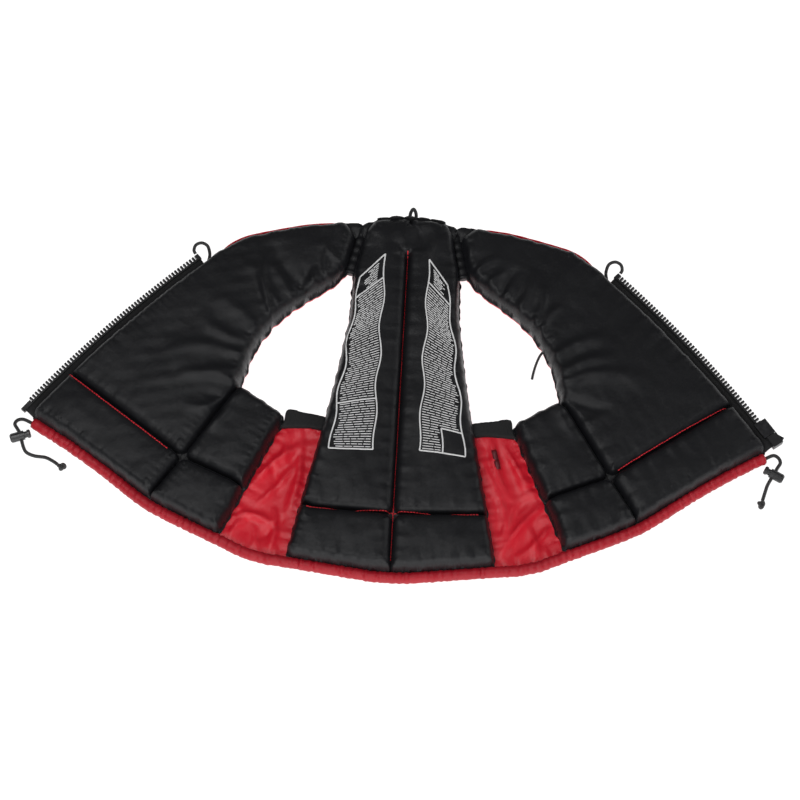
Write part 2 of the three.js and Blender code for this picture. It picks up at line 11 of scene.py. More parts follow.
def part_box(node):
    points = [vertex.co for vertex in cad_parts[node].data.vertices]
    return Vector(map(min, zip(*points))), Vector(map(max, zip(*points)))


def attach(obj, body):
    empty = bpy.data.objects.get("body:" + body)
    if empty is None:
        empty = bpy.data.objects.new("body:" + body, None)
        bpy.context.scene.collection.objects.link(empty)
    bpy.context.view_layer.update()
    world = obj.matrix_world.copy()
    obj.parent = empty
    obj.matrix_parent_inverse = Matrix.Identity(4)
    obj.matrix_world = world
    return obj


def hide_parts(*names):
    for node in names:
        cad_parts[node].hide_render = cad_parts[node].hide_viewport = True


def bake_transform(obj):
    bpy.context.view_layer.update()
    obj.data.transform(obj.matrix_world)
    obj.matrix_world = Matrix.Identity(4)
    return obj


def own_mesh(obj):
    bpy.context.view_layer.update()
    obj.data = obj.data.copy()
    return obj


# A buoyancy vest, unzipped and laid open on its outer side with the lining upwards.
# Metres; +X to the right, +Y up the back to the collar, +Z up out of the lining.
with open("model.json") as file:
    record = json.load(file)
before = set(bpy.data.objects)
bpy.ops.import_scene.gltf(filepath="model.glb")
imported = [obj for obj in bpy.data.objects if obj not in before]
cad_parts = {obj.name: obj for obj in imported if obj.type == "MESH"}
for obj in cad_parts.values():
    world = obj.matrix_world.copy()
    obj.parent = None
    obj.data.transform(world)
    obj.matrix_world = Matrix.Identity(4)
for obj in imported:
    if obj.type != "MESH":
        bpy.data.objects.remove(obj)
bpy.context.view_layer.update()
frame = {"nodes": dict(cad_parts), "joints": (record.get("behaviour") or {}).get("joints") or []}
joints = {joint["name"]: joint for joint in frame["joints"]}
foldPoint = np.array(joints["right_front_fold"]["pos_m"])
foldAxis = np.array(joints["right_front_fold"]["axis"])
middle = foldPoint[2]             # half the foam's height, where the zip lies
signs = {"left": -1, "right": 1}
print("frame loaded")


# Camera, floor and light
viewpoint = {"azimuth": 3.0, "elevation": 66.0, "distance": 2.4, "lens": 96.4}
studio = {"floorSize": 6.0, "floorColour": (0.4, 0.4, 0.4, 1), "floorGlow": 0.93,
          "skyColour": (1, 1, 1, 1), "skyStrength": 0.13}
lamps = {
    "front": {"place": (0.1, -2.3, 1.0), "size": 2.0, "power": 38},
    "top": {"place": (-0.7, -0.3, 2.5), "size": 1.2, "power": 26},
    "side": {"place": (2.1, 0.7, 1.2), "size": 1.2, "power": 12},
}


def addCamera(values):
    turn = math.radians(values["azimuth"])
    rise = math.radians(values["elevation"])
    back = Vector((math.sin(turn) * math.cos(rise), -math.cos(turn) * math.cos(rise),
                   math.sin(rise)))
    camera = bpy.data.objects.new("camera", bpy.data.cameras.new("camera"))
    camera.data.lens = values["lens"]
    camera.location = back * values["distance"]
    camera.rotation_euler = back.to_track_quat("Z", "Y").to_euler()
    bpy.context.scene.collection.objects.link(camera)
    bpy.context.scene.camera = camera


def addLamp(name, values):
    lamp = bpy.data.objects.new(name, bpy.data.lights.new(name, "AREA"))
    lamp.data.size = values["size"]
    lamp.data.energy = values["power"]
    lamp.location = values["place"]
    lamp.rotation_euler = Vector(values["place"]).to_track_quat("Z", "Y").to_euler()
    bpy.context.scene.collection.objects.link(lamp)


# Shader building
class Signal:
    # one output of a node; sums and products on it add Math nodes
    def __init__(self, tree, socket):
        self.tree = tree
        self.socket = socket

    def joined(self, operation, first, second=0.0):
        return self.tree.node("ShaderNodeMath", {"operation": operation}, {0: first, 1: second})

    def __add__(self, other):
        return self.joined("ADD", self, other)

    def __radd__(self, other):
        return self.joined("ADD", other, self)

    def __sub__(self, other):
        return self.joined("SUBTRACT", self, other)

    def __mul__(self, other):
        return self.joined("MULTIPLY", self, other)

    def sine(self):
        return self.joined("SINE", self)

    def size(self):
        return self.joined("ABSOLUTE", self)


class Tree:
    # the nodes of one material
    def __init__(self, name):
        self.material = bpy.data.materials.new(name)
        self.material.use_nodes = True
        self.nodes = self.material.node_tree.nodes
        self.links = self.material.node_tree.links
        self.shader = self.nodes["Principled BSDF"]

    def node(self, kind, settings=None, sockets=None, output=0):
        # any node: its settings first, then the values or links of its sockets
        made = self.nodes.new(kind)
        for key, value in (settings or {}).items():
            setattr(made, key, value)
        for key, value in (sockets or {}).items():
            self.feed(made.inputs[key], value)
        return Signal(self, made.outputs[output])

    def feed(self, socket, value):
        if isinstance(value, Signal):
            self.links.new(value.socket, socket)
        else:
            socket.default_value = value

    def axes(self, place):
        # x, y and z of a place
        split = self.node("ShaderNodeSeparateXYZ", None, {0: place}).socket.node
        return [Signal(self, output) for output in split.outputs]

    def finish(self, sockets):
        for key, value in sockets.items():
            self.feed(self.shader.inputs[key], value)
        return self.material

    def noise(self, place, scale, detail=3.0):
        return self.node("ShaderNodeTexNoise", None,
                         {"Vector": place, "Scale": scale, "Detail": detail})

    def mix(self, factor, first, second):
        return self.node("ShaderNodeMix", {"data_type": "RGBA"},
                         {0: factor, 6: first, 7: second}, output=2)

    def bump(self, height, distance, strength=1.0):
        return self.node("ShaderNodeBump", None,
                         {"Height": height, "Distance": distance, "Strength": strength})


liningFinish = {"name": "proofed lining nylon", "colour": (0.0052, 0.0054, 0.0066, 1),
                "worn": (0.0090, 0.0092, 0.0108, 1), "rough": 0.42, "thread": 0.00045,
                "weave": 0.00004, "crumple": 0.0011, "gloss": 0.27, "sheen": 0.01,
                "tint": (0.75, 0.8, 1, 1)}
shellFinish = {"name": "proofed shell nylon", "colour": (0.62, 0.005, 0.018, 1),
               "worn": (0.74, 0.010, 0.028, 1), "rough": 0.38, "thread": 0.00045,
               "weave": 0.00004, "crumple": 0.0009, "gloss": 0.5, "sheen": 0.05,
               "tint": (1, 0.75, 0.78, 1)}
casingFinish = {"name": "gathered hem nylon", "colour": (0.33, 0.004, 0.013, 1),
                "worn": (0.46, 0.008, 0.020, 1), "rough": 0.45, "thread": 0.00045,
                "weave": 0.00005, "crumple": 0.0012, "gloss": 0.35, "sheen": 0.05,
                "tint": (1, 0.75, 0.78, 1)}
elasticFinish = {"name": "ribbed elastic", "colour": (0.009, 0.009, 0.0095, 1),
                 "worn": (0.018, 0.018, 0.019, 1), "rough": 0.72, "thread": 0.0016,
                 "weave": 0.0003, "crumple": 0.0004, "gloss": 0.3, "sheen": 0.06,
                 "tint": (0.8, 0.85, 1, 1)}
tapeFinish = {"name": "woven zip tape", "colour": (0.008, 0.008, 0.0085, 1),
              "worn": (0.016, 0.016, 0.017, 1), "rough": 0.75, "thread": 0.0011,
              "weave": 0.0002, "crumple": 0.0003, "gloss": 0.3, "sheen": 0.05,
              "tint": (0.8, 0.85, 1, 1)}
braidFinish = {"name": "braided cord", "colour": (0.010, 0.010, 0.0105, 1),
               "worn": (0.035, 0.035, 0.036, 1), "rough": 0.6, "picks": 330, "strands": 8,
               "relief": 0.0004}
mouldedFinish = {"name": "moulded plastic", "colour": (0.012, 0.012, 0.013, 1),
                 "worn": (0.03, 0.03, 0.032, 1), "rough": 0.34, "metal": 0.0, "grain": 0.00006}
metalFinish = {"name": "coated metal", "colour": (0.022, 0.022, 0.024, 1),
               "worn": (0.14, 0.14, 0.15, 1), "rough": 0.3, "metal": 0.75, "grain": 0.00004}
springFinish = {"name": "spring steel", "colour": (0.5, 0.5, 0.52, 1),
                "worn": (0.7, 0.7, 0.72, 1), "rough": 0.26, "metal": 1.0, "grain": 0.00002}
printFinish = {"name": "screen print", "colour": (0.84, 0.84, 0.84, 1),
               "worn": (0.56, 0.56, 0.57, 1), "rough": 0.6, "metal": 0.0, "grain": 0.00003}
threadFinish = {"name": "red thread", "colour": (0.80, 0.015, 0.03, 1),
                "worn": (0.55, 0.010, 0.018, 1), "rough": 0.55, "metal": 0.0, "grain": 0.0001}
# a darker red for the patch that lies on the cloth below the right binding
patchFinish = {"name": "dark red patch", "colour": (0.10, 0.002, 0.006, 1),
               "worn": (0.14, 0.003, 0.008, 1), "rough": 0.5, "metal": 0.0, "grain": 0.0001}


def clothMaterial(values):
    # a plain weave, sin x times sin y, over soft crumples; rubbed places are lighter and rougher
    tree = Tree(values["name"])
    place = tree.node("ShaderNodeTexCoord", output="Object")
    x, y, z = tree.axes(place)
    turns = 2 * math.pi / values["thread"]
    weave = (x * turns).sine() * (y * turns).sine() + (z * turns).sine() * 0.5
    crumple = tree.noise(place, 95.0, 4.0)
    patches = tree.noise(place, 17.0, 5.0)
    fine = tree.bump(weave, values["weave"], 0.5)
    soft = tree.node("ShaderNodeBump", None, {"Height": crumple, "Distance": values["crumple"],
                                              "Strength": 0.5, "Normal": fine})
    return tree.finish({
        "Base Color": tree.mix(patches, values["colour"], values["worn"]),
        "Roughness": values["rough"] - 0.07 + patches * 0.14,
        "Specular IOR Level": values["gloss"],
        "Sheen Weight": values["sheen"], "Sheen Tint": values["tint"],
        "Sheen Roughness": 0.4, "Normal": soft})


def braidMaterial(values):
    # two sets of strands cross round the cord: ridges along u + v and u - v
    tree = Tree(values["name"])
    place = tree.node("ShaderNodeTexCoord", output="UV")
    u, v, _ = tree.axes(place)
    run = u * values["picks"] * math.pi
    ring = v * values["strands"] * math.pi
    braid = (run + ring).sine().size() * (run - ring).sine().size()
    return tree.finish({
        "Base Color": tree.mix(braid, values["colour"], values["worn"]),
        "Roughness": values["rough"] + braid * 0.1, "Sheen Weight": 0.2,
        "Normal": tree.bump(braid, values["relief"], 0.8)})


def hardMaterial(values):
    # moulded or coated parts: fine grain, and paler rubbed places
    tree = Tree(values["name"])
    place = tree.node("ShaderNodeTexCoord", output="Object")
    grain = tree.noise(place, 2600.0, 2.0)
    rubbed = tree.noise(place, 160.0, 4.0)
    return tree.finish({
        "Base Color": tree.mix(rubbed * rubbed, values["colour"], values["worn"]),
        "Roughness": values["rough"] - 0.06 + rubbed * 0.14, "Metallic": values["metal"],
        "Normal": tree.bump(grain, values["grain"], 0.6)})


lining = clothMaterial(liningFinish)
shell = clothMaterial(shellFinish)
casingCloth = clothMaterial(casingFinish)
elastic = clothMaterial(elasticFinish)
tapeCloth = clothMaterial(tapeFinish)
braid = braidMaterial(braidFinish)
moulded = hardMaterial(mouldedFinish)
metal = hardMaterial(metalFinish)
springSteel = hardMaterial(springFinish)
printInk = hardMaterial(printFinish)
thread = hardMaterial(threadFinish)
patchCloth = hardMaterial(patchFinish)


# Surfaces
def addMesh(name, vertices, faces, material, uv=None):
    mesh = bpy.data.meshes.new(name)
    mesh.from_pydata(np.asarray(vertices).tolist(), [], faces)
    mesh.materials.append(material)
    mesh.polygons.foreach_set("use_smooth", np.ones(len(mesh.polygons), bool))
    if uv is not None:
        corners = np.zeros(len(mesh.loops), np.int32)
        mesh.loops.foreach_get("vertex_index", corners)
        mesh.uv_layers.new(name="along").data.foreach_set("uv", uv[corners].ravel())
    piece = bpy.data.objects.new(name, mesh)
    bpy.context.scene.collection.objects.link(piece)
    return piece


def placed(piece, body, slot, *nodes):
    # what the piece moves with, its slot, which is not used, and the frame's nodes that it stands for
    if body:
        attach(piece, body)
    if nodes:
        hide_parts(*nodes)


def unit(vectors):
    # each vector divided by its length
    return vectors / np.maximum(np.linalg.norm(vectors, axis=-1), 1e-9)[..., None]


def outwardOf(loop):
    # square to a closed anticlockwise line, pointing out of it
    heading = unit(np.roll(loop, -1, axis=0) - np.roll(loop, 1, axis=0))
    return np.column_stack([heading[:, 1], -heading[:, 0]])


def areaIn(loop):
    # half the sum of x times the next y less y times the next x; above 0 if anticlockwise
    x, y = loop.T
    return (x * np.roll(y, -1) - np.roll(x, -1) * y).sum() / 2


def fullTurn(sides):
    return np.linspace(0, 2 * np.pi, sides, endpoint=False)


def reachOf(path):
    # how far along a line each of its points lies
    return np.concatenate([[0], np.cumsum(np.linalg.norm(np.diff(path, axis=0), axis=1))])


def ringFaces(count, sides, closed=False):
    # four-sided faces from each ring of points to the next, and a cap on each open end
    k, j = np.meshgrid(np.arange(count if closed else count - 1), np.arange(sides), indexing="ij")
    here, after = k * sides, (k + 1) % count * sides
    beside = (j + 1) % sides
    faces = np.stack([here + j, here + beside, after + beside, after + j], axis=-1)
    faces = faces.reshape(-1, 4).tolist()
    if not closed:
        faces.append(list(range(sides))[::-1])
        faces.append(list(range((count - 1) * sides, count * sides)))
    return faces


def smoothPath(points, steps):
    # a curve through the points: on each stretch the cubic with the neighbours' mean slopes
    points = np.asarray(points, float)
    ends = np.vstack([2 * points[0] - points[1], points, 2 * points[-1] - points[-2]])
    places = np.linspace(0, len(points) - 1, steps + 1)
    k = np.minimum(places.astype(int), len(points) - 2)
    t = (places - k)[:, None]
    a, b, c, d = ends[k], ends[k + 1], ends[k + 2], ends[k + 3]
    return 0.5 * (2 * b + (c - a) * t + (2 * a - 5 * b + 4 * c - d) * t ** 2
                  + (3 * b - a - 3 * c + d) * t ** 3)


def spaced(line, step, closed=False):
    # points at even steps along a line of straight stretches
    ends = np.vstack([line, line[:1]]) if closed else np.asarray(line, float)
    reach = reachOf(ends)
    count = max(6, int(round(reach[-1] / step)))
    places = np.linspace(0, reach[-1], count + 1)
    if closed:
        places = places[:-1]
    return np.column_stack([np.interp(places, reach, ends[:, k]) for k in range(ends.shape[1])])


def lengthOf(path):
    return float(np.linalg.norm(np.diff(path, axis=0), axis=1).sum())


def carried(path, across, up, closed=False):
    # a section carried along a path, each ring turned as little as can be from the one before:
    # point = path + across times the side direction + up times the upward direction
    count = len(path)
    if closed:
        heading = np.roll(path, -1, axis=0) - np.roll(path, 1, axis=0)
    else:
        heading = np.gradient(path, axis=0)
    heading = unit(heading)
    rise = np.zeros_like(path)
    first = np.array([0, 0, 1.0])
    if abs(heading[0][2]) > 0.8:
        first = np.array([1.0, 0, 0])
    for k in range(count):
        first = first - heading[k] * (first @ heading[k])
        first = first / np.linalg.norm(first)
        rise[k] = first
    side = np.cross(rise, heading)
    rings = path[:, None] + across[..., None] * side[:, None] + up[..., None] * rise[:, None]
    sides = rings.shape[1]
    faces = ringFaces(count, sides, closed)
    reach = reachOf(path)
    uv = np.stack(np.broadcast_arrays(reach[:, None], np.arange(sides)[None] / sides), axis=-1)
    return rings.reshape(-1, 3), faces, uv.reshape(-1, 2)


def tube(name, path, radius, material, sides=14, closed=False):
    turn = fullTurn(sides)
    across = np.broadcast_to(radius * np.cos(turn), (len(path), sides))
    up = np.broadcast_to(radius * np.sin(turn), (len(path), sides))
    vertices, faces, uv = carried(path, across, up, closed)
    return addMesh(name, vertices, faces, material, uv)


def nearest(points, line, closed=True):
    # the distance from each point to a line of straight stretches, and how far along that is
    start = line if closed else line[:-1]
    end = np.roll(line, -1, axis=0) if closed else line[1:]
    step = end - start
    length = np.linalg.norm(step, axis=1)
    reach = np.concatenate([[0], np.cumsum(length)[:-1]])
    distance = np.zeros(len(points))
    along = np.zeros(len(points))
    for k in range(0, len(points), 2000):
        gap = points[k:k + 2000, None] - start
        t = np.clip((gap * step).sum(-1) / np.maximum(length ** 2, 1e-12), 0, 1)
        away = np.linalg.norm(gap - t[..., None] * step, axis=-1)
        best = away.argmin(axis=1)
        rows = np.arange(len(best))
        distance[k:k + 2000] = away[rows, best]
        along[k:k + 2000] = reach[best] + t[rows, best] * length[best]
    return distance, along


def depthIn(points, loop):
    # the distance to a closed line, counted as negative outside it by how often a ray crosses it
    x0, y0 = loop.T
    x1, y1 = np.roll(loop, -1, axis=0).T
    x, y = points[:, :1], points[:, 1:2]
    spans = (y0 > y) != (y1 > y)
    rise = np.where(y1 == y0, 1e-12, y1 - y0)
    crossings = (spans & (x < x0 + (y - y0) * (x1 - x0) / rise)).sum(axis=1)
    return nearest(points, loop)[0] * np.where(crossings % 2 == 1, 1, -1)


def section(node, height):
    # the longest closed line in which a level plane cuts a frame node, anticlockwise
    cut = bmesh.new()
    cut.from_mesh(frame["nodes"][node].data)
    bmesh.ops.remove_doubles(cut, verts=cut.verts, dist=2e-6)
    whole = cut.verts[:] + cut.edges[:] + cut.faces[:]
    made = bmesh.ops.bisect_plane(cut, geom=whole, plane_co=(0, 0, height), plane_no=(0, 0, 1))
    edges = [e for e in made["geom_cut"] if isinstance(e, bmesh.types.BMEdge)]
    beside = {}
    for edge in edges:
        for one, other in (edge.verts, reversed(edge.verts)):
            beside.setdefault(one, []).append(other)
    lines = []
    while beside:
        point = next(iter(beside))
        line = []
        while point is not None and point in beside:
            line.append(point.co.to_tuple()[:2])
            followers = beside.pop(point)
            point = next((p for p in followers if p in beside), None)
        lines.append(np.array(line))
    cut.free()
    longest = max(lines, key=lengthOf)
    return longest if areaIn(longest) > 0 else longest[::-1]


def joinedLoop(first, second, slack):
    # two outlines that lie edge to edge become one, without the points that face each other
    first, second = (spaced(line, 0.002, True) for line in (first, second))
    apart = nearest(first, second)[0].min()
    parts = []
    for line, other in ((first, second), (second, first)):
        facing = nearest(line, other)[0] < apart + slack
        last = np.flatnonzero(facing & ~np.roll(facing, -1))[0]
        parts.append(np.roll(line, -last - 1, axis=0)[~np.roll(facing, -last - 1)])
    return np.vstack(parts)


def rounded(loop, radius, step):
    # every point becomes the mean of its neighbours within the radius, which rounds corners
    fine = spaced(loop, step, True)
    half = max(1, int(round(radius / step)))
    return sum(np.roll(fine, k, axis=0) for k in range(-half, half + 1)) / (2 * half + 1)


def besideLoop(loop, distance):
    # a copy of an outline moved inwards, without the points that come too near its other stretches
    moved = loop - distance * outwardOf(loop)
    keep = nearest(moved, loop)[0] > 0.93 * abs(distance)
    return moved[keep]


def levelNet(outline, cells, step, rings):
    # a flat net of triangles inside an outline: rings follow the outline and each cell's edge,
    # and an even grid fills the rest
    sets = [outline]
    for ring in rings:
        sets.append(besideLoop(outline, ring))
    for cell in cells:
        for ring in [-rings[0], 0, *rings]:
            line = besideLoop(cell, ring) if ring else cell
            sets.append(line[depthIn(line, outline) > 0.5 * rings[0]])
    low = outline.min(axis=0)
    high = outline.max(axis=0)
    x, y = np.meshgrid(np.arange(low[0], high[0], step), np.arange(low[1], high[1], step * 0.866))
    x[1::2] += step / 2
    grid = np.column_stack([x.ravel(), y.ravel()])
    clear = depthIn(grid, outline) > rings[-1] + 0.4 * step
    for cell in cells:
        clear &= nearest(grid, cell)[0] > rings[-1] + 0.4 * step
    sets.append(grid[clear])
    points = np.vstack(sets)
    tidy = np.unique(np.round(points[len(outline):], 5), axis=0)
    points = np.vstack([outline, tidy])
    count = len(outline)
    rim = [(k, (k + 1) % count) for k in range(count)]
    made = delaunay_2d_cdt([Vector(p) for p in points], rim, [], 1, 1e-7)
    flat = np.array([tuple(p) for p in made[0]])
    triangles = np.array([face[:3] for face in made[2]])
    a, b, c = flat[triangles[:, 0]], flat[triangles[:, 1]], flat[triangles[:, 2]]
    area = (b[:, 0] - a[:, 0]) * (c[:, 1] - a[:, 1]) - (c[:, 0] - a[:, 0]) * (b[:, 1] - a[:, 1])
    triangles[area < 0] = triangles[area < 0][:, ::-1]
    return flat, triangles[abs(area) > 1e-13]


def closedForm(flat, triangles, top, bottom):
    # an upper and a lower surface over the same net, joined by a wall along its rim
    count = len(flat)
    edges = np.vstack([triangles[:, [0, 1]], triangles[:, [1, 2]], triangles[:, [2, 0]]])
    forward = edges[:, 0] * count + edges[:, 1]
    backward = edges[:, 1] * count + edges[:, 0]
    rim = edges[~np.isin(forward, backward)]
    vertices = np.vstack([np.column_stack([flat, top]), np.column_stack([flat, bottom])])
    wall = np.column_stack([rim[:, 1], rim[:, 0], rim[:, 0] + count, rim[:, 1] + count])
    return vertices, triangles.tolist() + (triangles[:, ::-1] + count).tolist() + wall.tolist()


def ribbons(lines, half, surface, lift, depth):
    # flat bands of even width laid on a surface, as closed slabs: each line is m points
    centre = np.asarray(lines)
    heading = unit(np.gradient(centre, axis=1))
    side = half * np.stack([-heading[..., 1], heading[..., 0]], axis=-1)
    count, steps = centre.shape[:2]
    edges = np.stack([centre + side, centre - side, centre - side, centre + side], axis=2)
    top = surface(centre.reshape(-1, 2)).reshape(count, steps, 1)
    height = top + np.array([lift, lift, lift - depth, lift - depth])
    vertices = np.concatenate([edges, height[..., None]], axis=-1).reshape(-1, 3)
    starts = np.arange(count)[:, None, None] * steps * 4
    return vertices, (starts + np.array(ringFaces(steps, 4))).reshape(-1, 4).tolist()


def swell(depth, bevel, power):
    # a quarter of a superellipse over the bevel, then level
    run = np.clip(depth / bevel, 0, 1)
    return (1 - (1 - run) ** power) ** (1 / power)


def eased(value):
    step = np.clip(value, 0, 1)
    return step * step * (3 - 2 * step)


def softWaves(points, size, seed, count=10):
    # slow uneven waves: sines of many directions and lengths near the size, added up
    random = np.random.default_rng(seed)
    turn = random.uniform(0, np.pi, count)
    number = 2 * np.pi / (size * random.uniform(0.6, 1.7, count))
    phase = random.uniform(0, 2 * np.pi, count)
    waves = np.outer(points[:, 0], np.cos(turn) * number)
    waves = waves + np.outer(points[:, 1], np.sin(turn) * number)
    return np.sin(waves + phase).sum(axis=1) / math.sqrt(count)


def foldRelief(points, folds):
    # long low ridges: each has two ends, a sideways bow, a half width and a height, and its
    # height follows a bell curve across it and dies away at both ends
    relief = np.zeros(len(points))
    for x0, y0, x1, y1, bow, width, height in folds:
        step = np.array([x1 - x0, y1 - y0])
        length = np.linalg.norm(step)
        ahead = step / length
        gap = points - np.array([x0, y0])
        along = gap @ ahead / length
        inside = np.clip(along, 0, 1)
        across = gap @ np.array([-ahead[1], ahead[0]]) - bow * np.sin(np.pi * inside)
        body = np.sin(np.pi * np.clip(along * 0.9 + 0.1, 0, 1)) ** 0.7
        relief += height * body * np.exp(-(across / (width * (0.6 + 0.6 * inside))) ** 2)
    return relief


def gathers(along, depth, pitch, height, reach, seed):
    # puckers square to a sewn edge: uneven waves along it that fade with the distance from it
    random = np.random.default_rng(seed)
    number = 2 * np.pi / (pitch * random.uniform(0.55, 1.8, 7))
    phase = random.uniform(0, 2 * np.pi, 7)
    waves = np.sin(np.outer(along, number) + phase).sum(axis=1) / 2.2
    return height * waves * np.exp(-np.maximum(depth, 0) / reach)


addCamera(viewpoint)


# Free cords
# The routes repeat the frame's: x and y from the end of the hem casing, z above the floor.
cordValues = {
    "exit": (0.406934, -0.051621, 0.0041), "radius": 0.002, "steps": 90, "knotCord": 0.0019,
    "left": [(-.0101, .0041, .0044), (-.0166, .0026, .005), (-.0191, -.0024, .0056),
             (-.0157, -.0079, .0058), (-.0123, -.0127, .0058), (-.0096, -.0202, .0058),
             (-.0062, -.0296, .0058), (-.0021, -.0354, .0044), (.0069, -.0384, .0028),
             (.019, -.0394, .0023), (.0279, -.0434, .0023), (.0334, -.0469, .0023)],
    "right": [(.0086, .004, .0044), (.0141, .0012, .005), (.0161, -.0049, .0056),
              (.0129, -.0109, .0058), (.0103, -.0157, .0058), (.0065, -.0227, .0058),
              (.0017, -.0316, .0058), (-.0003, -.0374, .0044), (-.0023, -.0444, .0026),
              (-.0037, -.0489, .0023)],
}
springValues = {"wire": 0.00022, "turns": 5.5, "steps": 150}
armholeCord = {"start": (0.1573, 0.0595), "radius": 0.0015, "steps": 30,
               "route": [(0, 0, 0), (-.0035, -.005, -.002), (-.007, -.013, -.007),
                         (-.0095, -.022, -.0115), (-.0105, -.028, -.0134)]}


def addCordEnd(side, values):
    # out of the casing, through the lock and on to an overhand knot
    exit = np.array(values["exit"]) * (signs[side], 1, 1)
    points = np.array(values[side]) + (exit[0], exit[1], 0)
    path = smoothPath(np.vstack([exit, points]), values["steps"])
    cord = tube(side + "_drawcord_end", path, values["radius"], braid)
    low, high = (np.array(corner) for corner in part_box(side + "_cord_knot"))
    turn = fullTurn(90)
    # a trefoil, x = sin t + 2 sin 2t, y = cos t - 2 cos 2t, z = -sin 3t, fitted to its box
    knotLine = np.column_stack([np.sin(turn) + 2 * np.sin(2 * turn),
                                np.cos(turn) - 2 * np.cos(2 * turn), -np.sin(3 * turn)])
    room = (high - low) / 2 - values["knotCord"]
    knotLine = (low + high) / 2 + knotLine * room / np.array([2.8, 3.0, 1.15])
    knot = tube(side + "_drawcord_knot", knotLine, values["knotCord"], braid, 12, True)
    for piece, node in ((cord, side + "_cord_end"), (knot, side + "_cord_knot")):
        placed(piece, side + "_front", "cord", node)
    lock = [frame["nodes"][side + "_cord_lock_" + part] for part in ("barrel", "plunger")]
    lock.append(addSpring(side, springValues))
    lengthOf(path)


def addSpring(side, values):
    # a coil between the plunger and the closed end of the barrel
    node = frame["nodes"][side + "_cord_lock_spring"]
    joint = joints[side + "_cord_lock_press"]
    axis = np.array(joint["axis"])
    points = np.array([node.matrix_world @ vertex.co for vertex in node.data.vertices])
    along = points @ axis
    centre = points.mean(axis=0)
    centre = centre + axis * ((along.min() + along.max()) / 2 - centre @ axis)
    away = np.linalg.norm(points - centre - np.outer((points - centre) @ axis, axis), axis=1)
    size, wire = away.max() - values["wire"], values["wire"]
    half = (along.max() - along.min()) / 2 - wire
    turn = np.linspace(0, 2 * np.pi * values["turns"], values["steps"])
    first = np.cross(axis, (0, 0, 1.0))
    first = first / np.linalg.norm(first)
    second = np.cross(axis, first)
    path = centre + size * (np.outer(np.cos(turn), first) + np.outer(np.sin(turn), second))
    path = path + np.outer(np.linspace(-half, half, len(turn)), axis)
    piece = tube(side + "_lock_coil", path, wire, springSteel, 8)
    placed(piece, side + "_cord_lock", "spring", side + "_cord_lock_spring")
    travel = joint["range_m"][1]
    side + "_cord_lock_press"
    tuple(centre + axis * (half + wire))
    1 - travel / (2 * (half + wire))
    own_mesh(piece)
    return piece


def addArmholeCord(values):
    start = np.array([*values["start"], middle])
    path = smoothPath(start + np.array(values["route"]), values["steps"])
    cord = tube("armhole_cord_tail", path, values["radius"], braid, 12)
    placed(cord, "right_front", "cord", "armhole_cord_end")
    tuple(path[0])
    lengthOf(path)


for side in signs:
    addCordEnd(side, cordValues)
addArmholeCord(armholeCord)
print("cords made")


# Outlines, read from the frame's nodes
outlineValues = {"step": 0.0026, "corner": 0.004, "cellCorner": 0.006, "cellGrow": 0.0026,
                 "pucker": 0.0006, "puckerPitch": 0.016, "zipClear": 0.022, "slack": 0.004,
                 "neckGrow": 0.0068, "zipGrow": 0.0026, "reach": 0.0120, "topReach": 0.0095,
                 "inset": 0.0014, "fine": 0.0006, "reachFade": 0.004, "topLow": 0.125,
                 "topRun": 0.025, "neckLow": 0.148, "neckRun": 0.03, "zipAside": -0.014}
zipFoot = np.array([0.409822, -0.029759])
zipCentre = np.array(joints["zip_slider_travel"]["pos_m"][:2])
zipLength = 0.256737
zipSize = float(np.linalg.norm(zipFoot - zipCentre))
zipFootAngle = math.atan2(*(zipFoot - zipCentre)[::-1])


def zipPoints(along, out, sign):
    # points beside the arc of the teeth
    angle = zipFootAngle + np.asarray(along) / zipSize
    reach = zipSize + np.asarray(out)
    return np.column_stack([sign * (zipCentre[0] + reach * np.cos(angle)),
                            zipCentre[1] + reach * np.sin(angle)])


def cellLoop(node, other=None, grow=outlineValues["cellGrow"]):
    loop = section(node, middle)
    if other:
        loop = joinedLoop(loop, section(other, middle), outlineValues["slack"])
    loop = rounded(loop, outlineValues["cellCorner"], outlineValues["step"])
    return spaced(besideLoop(loop, -grow), outlineValues["step"], True)


def puckered(loop, values, seed):
    # a sewn edge wanders a little in and out, except beside the zip
    loop = rounded(loop, values["corner"], values["step"])
    out = outwardOf(loop)
    along = np.arange(len(loop)) * values["step"]
    wave = gathers(along, 0, values["puckerPitch"], values["pucker"], 1, seed)
    zipLines = [zipPoints(np.linspace(-0.02, zipLength + 0.02, 40), values["zipAside"], sign)
                for sign in (-1, 1)]
    near, shortNear = (np.minimum(*(nearest(loop, line[:end], False)[0] for line in zipLines))
                       for end in (40, 35))
    wave *= np.clip(near / values["zipClear"], 0, 1)
    # foam presses the cloth outwards along the neck edge and beside the zip
    neck = eased((loop[:, 1] - values["neckLow"]) / values["neckRun"])
    neck = neck * eased((out[:, 1] - 0.15) / 0.35)      # only where the edge faces the collar
    wave += values["neckGrow"] * neck * eased((shortNear - 0.001) / values["zipClear"])
    wave += values["zipGrow"] * (1 - np.clip((near - 0.002) / 0.006, 0, 1))
    return loop + wave[:, None] * out


def reached(loop, outline, values):
    # the stretches of a cell that run near the outline are moved out to lie just inside it
    fine = spaced(outline, values["fine"], True)
    gaps = np.linalg.norm(loop[:, None] - fine[None], axis=-1)
    beside = fine[gaps.argmin(axis=1)]
    gap = np.maximum(gaps.min(axis=1), 0.0002)
    high = eased((loop[:, 1] - values["topLow"]) / values["topRun"])
    reach = values["reach"] + values["topReach"] * high
    pull = 1 - eased((gap - reach) / values["reachFade"])
    moved = beside + (loop - beside) * (values["inset"] / gap)[:, None]
    return rounded(loop + (moved - loop) * pull[:, None], 0.003, values["step"])


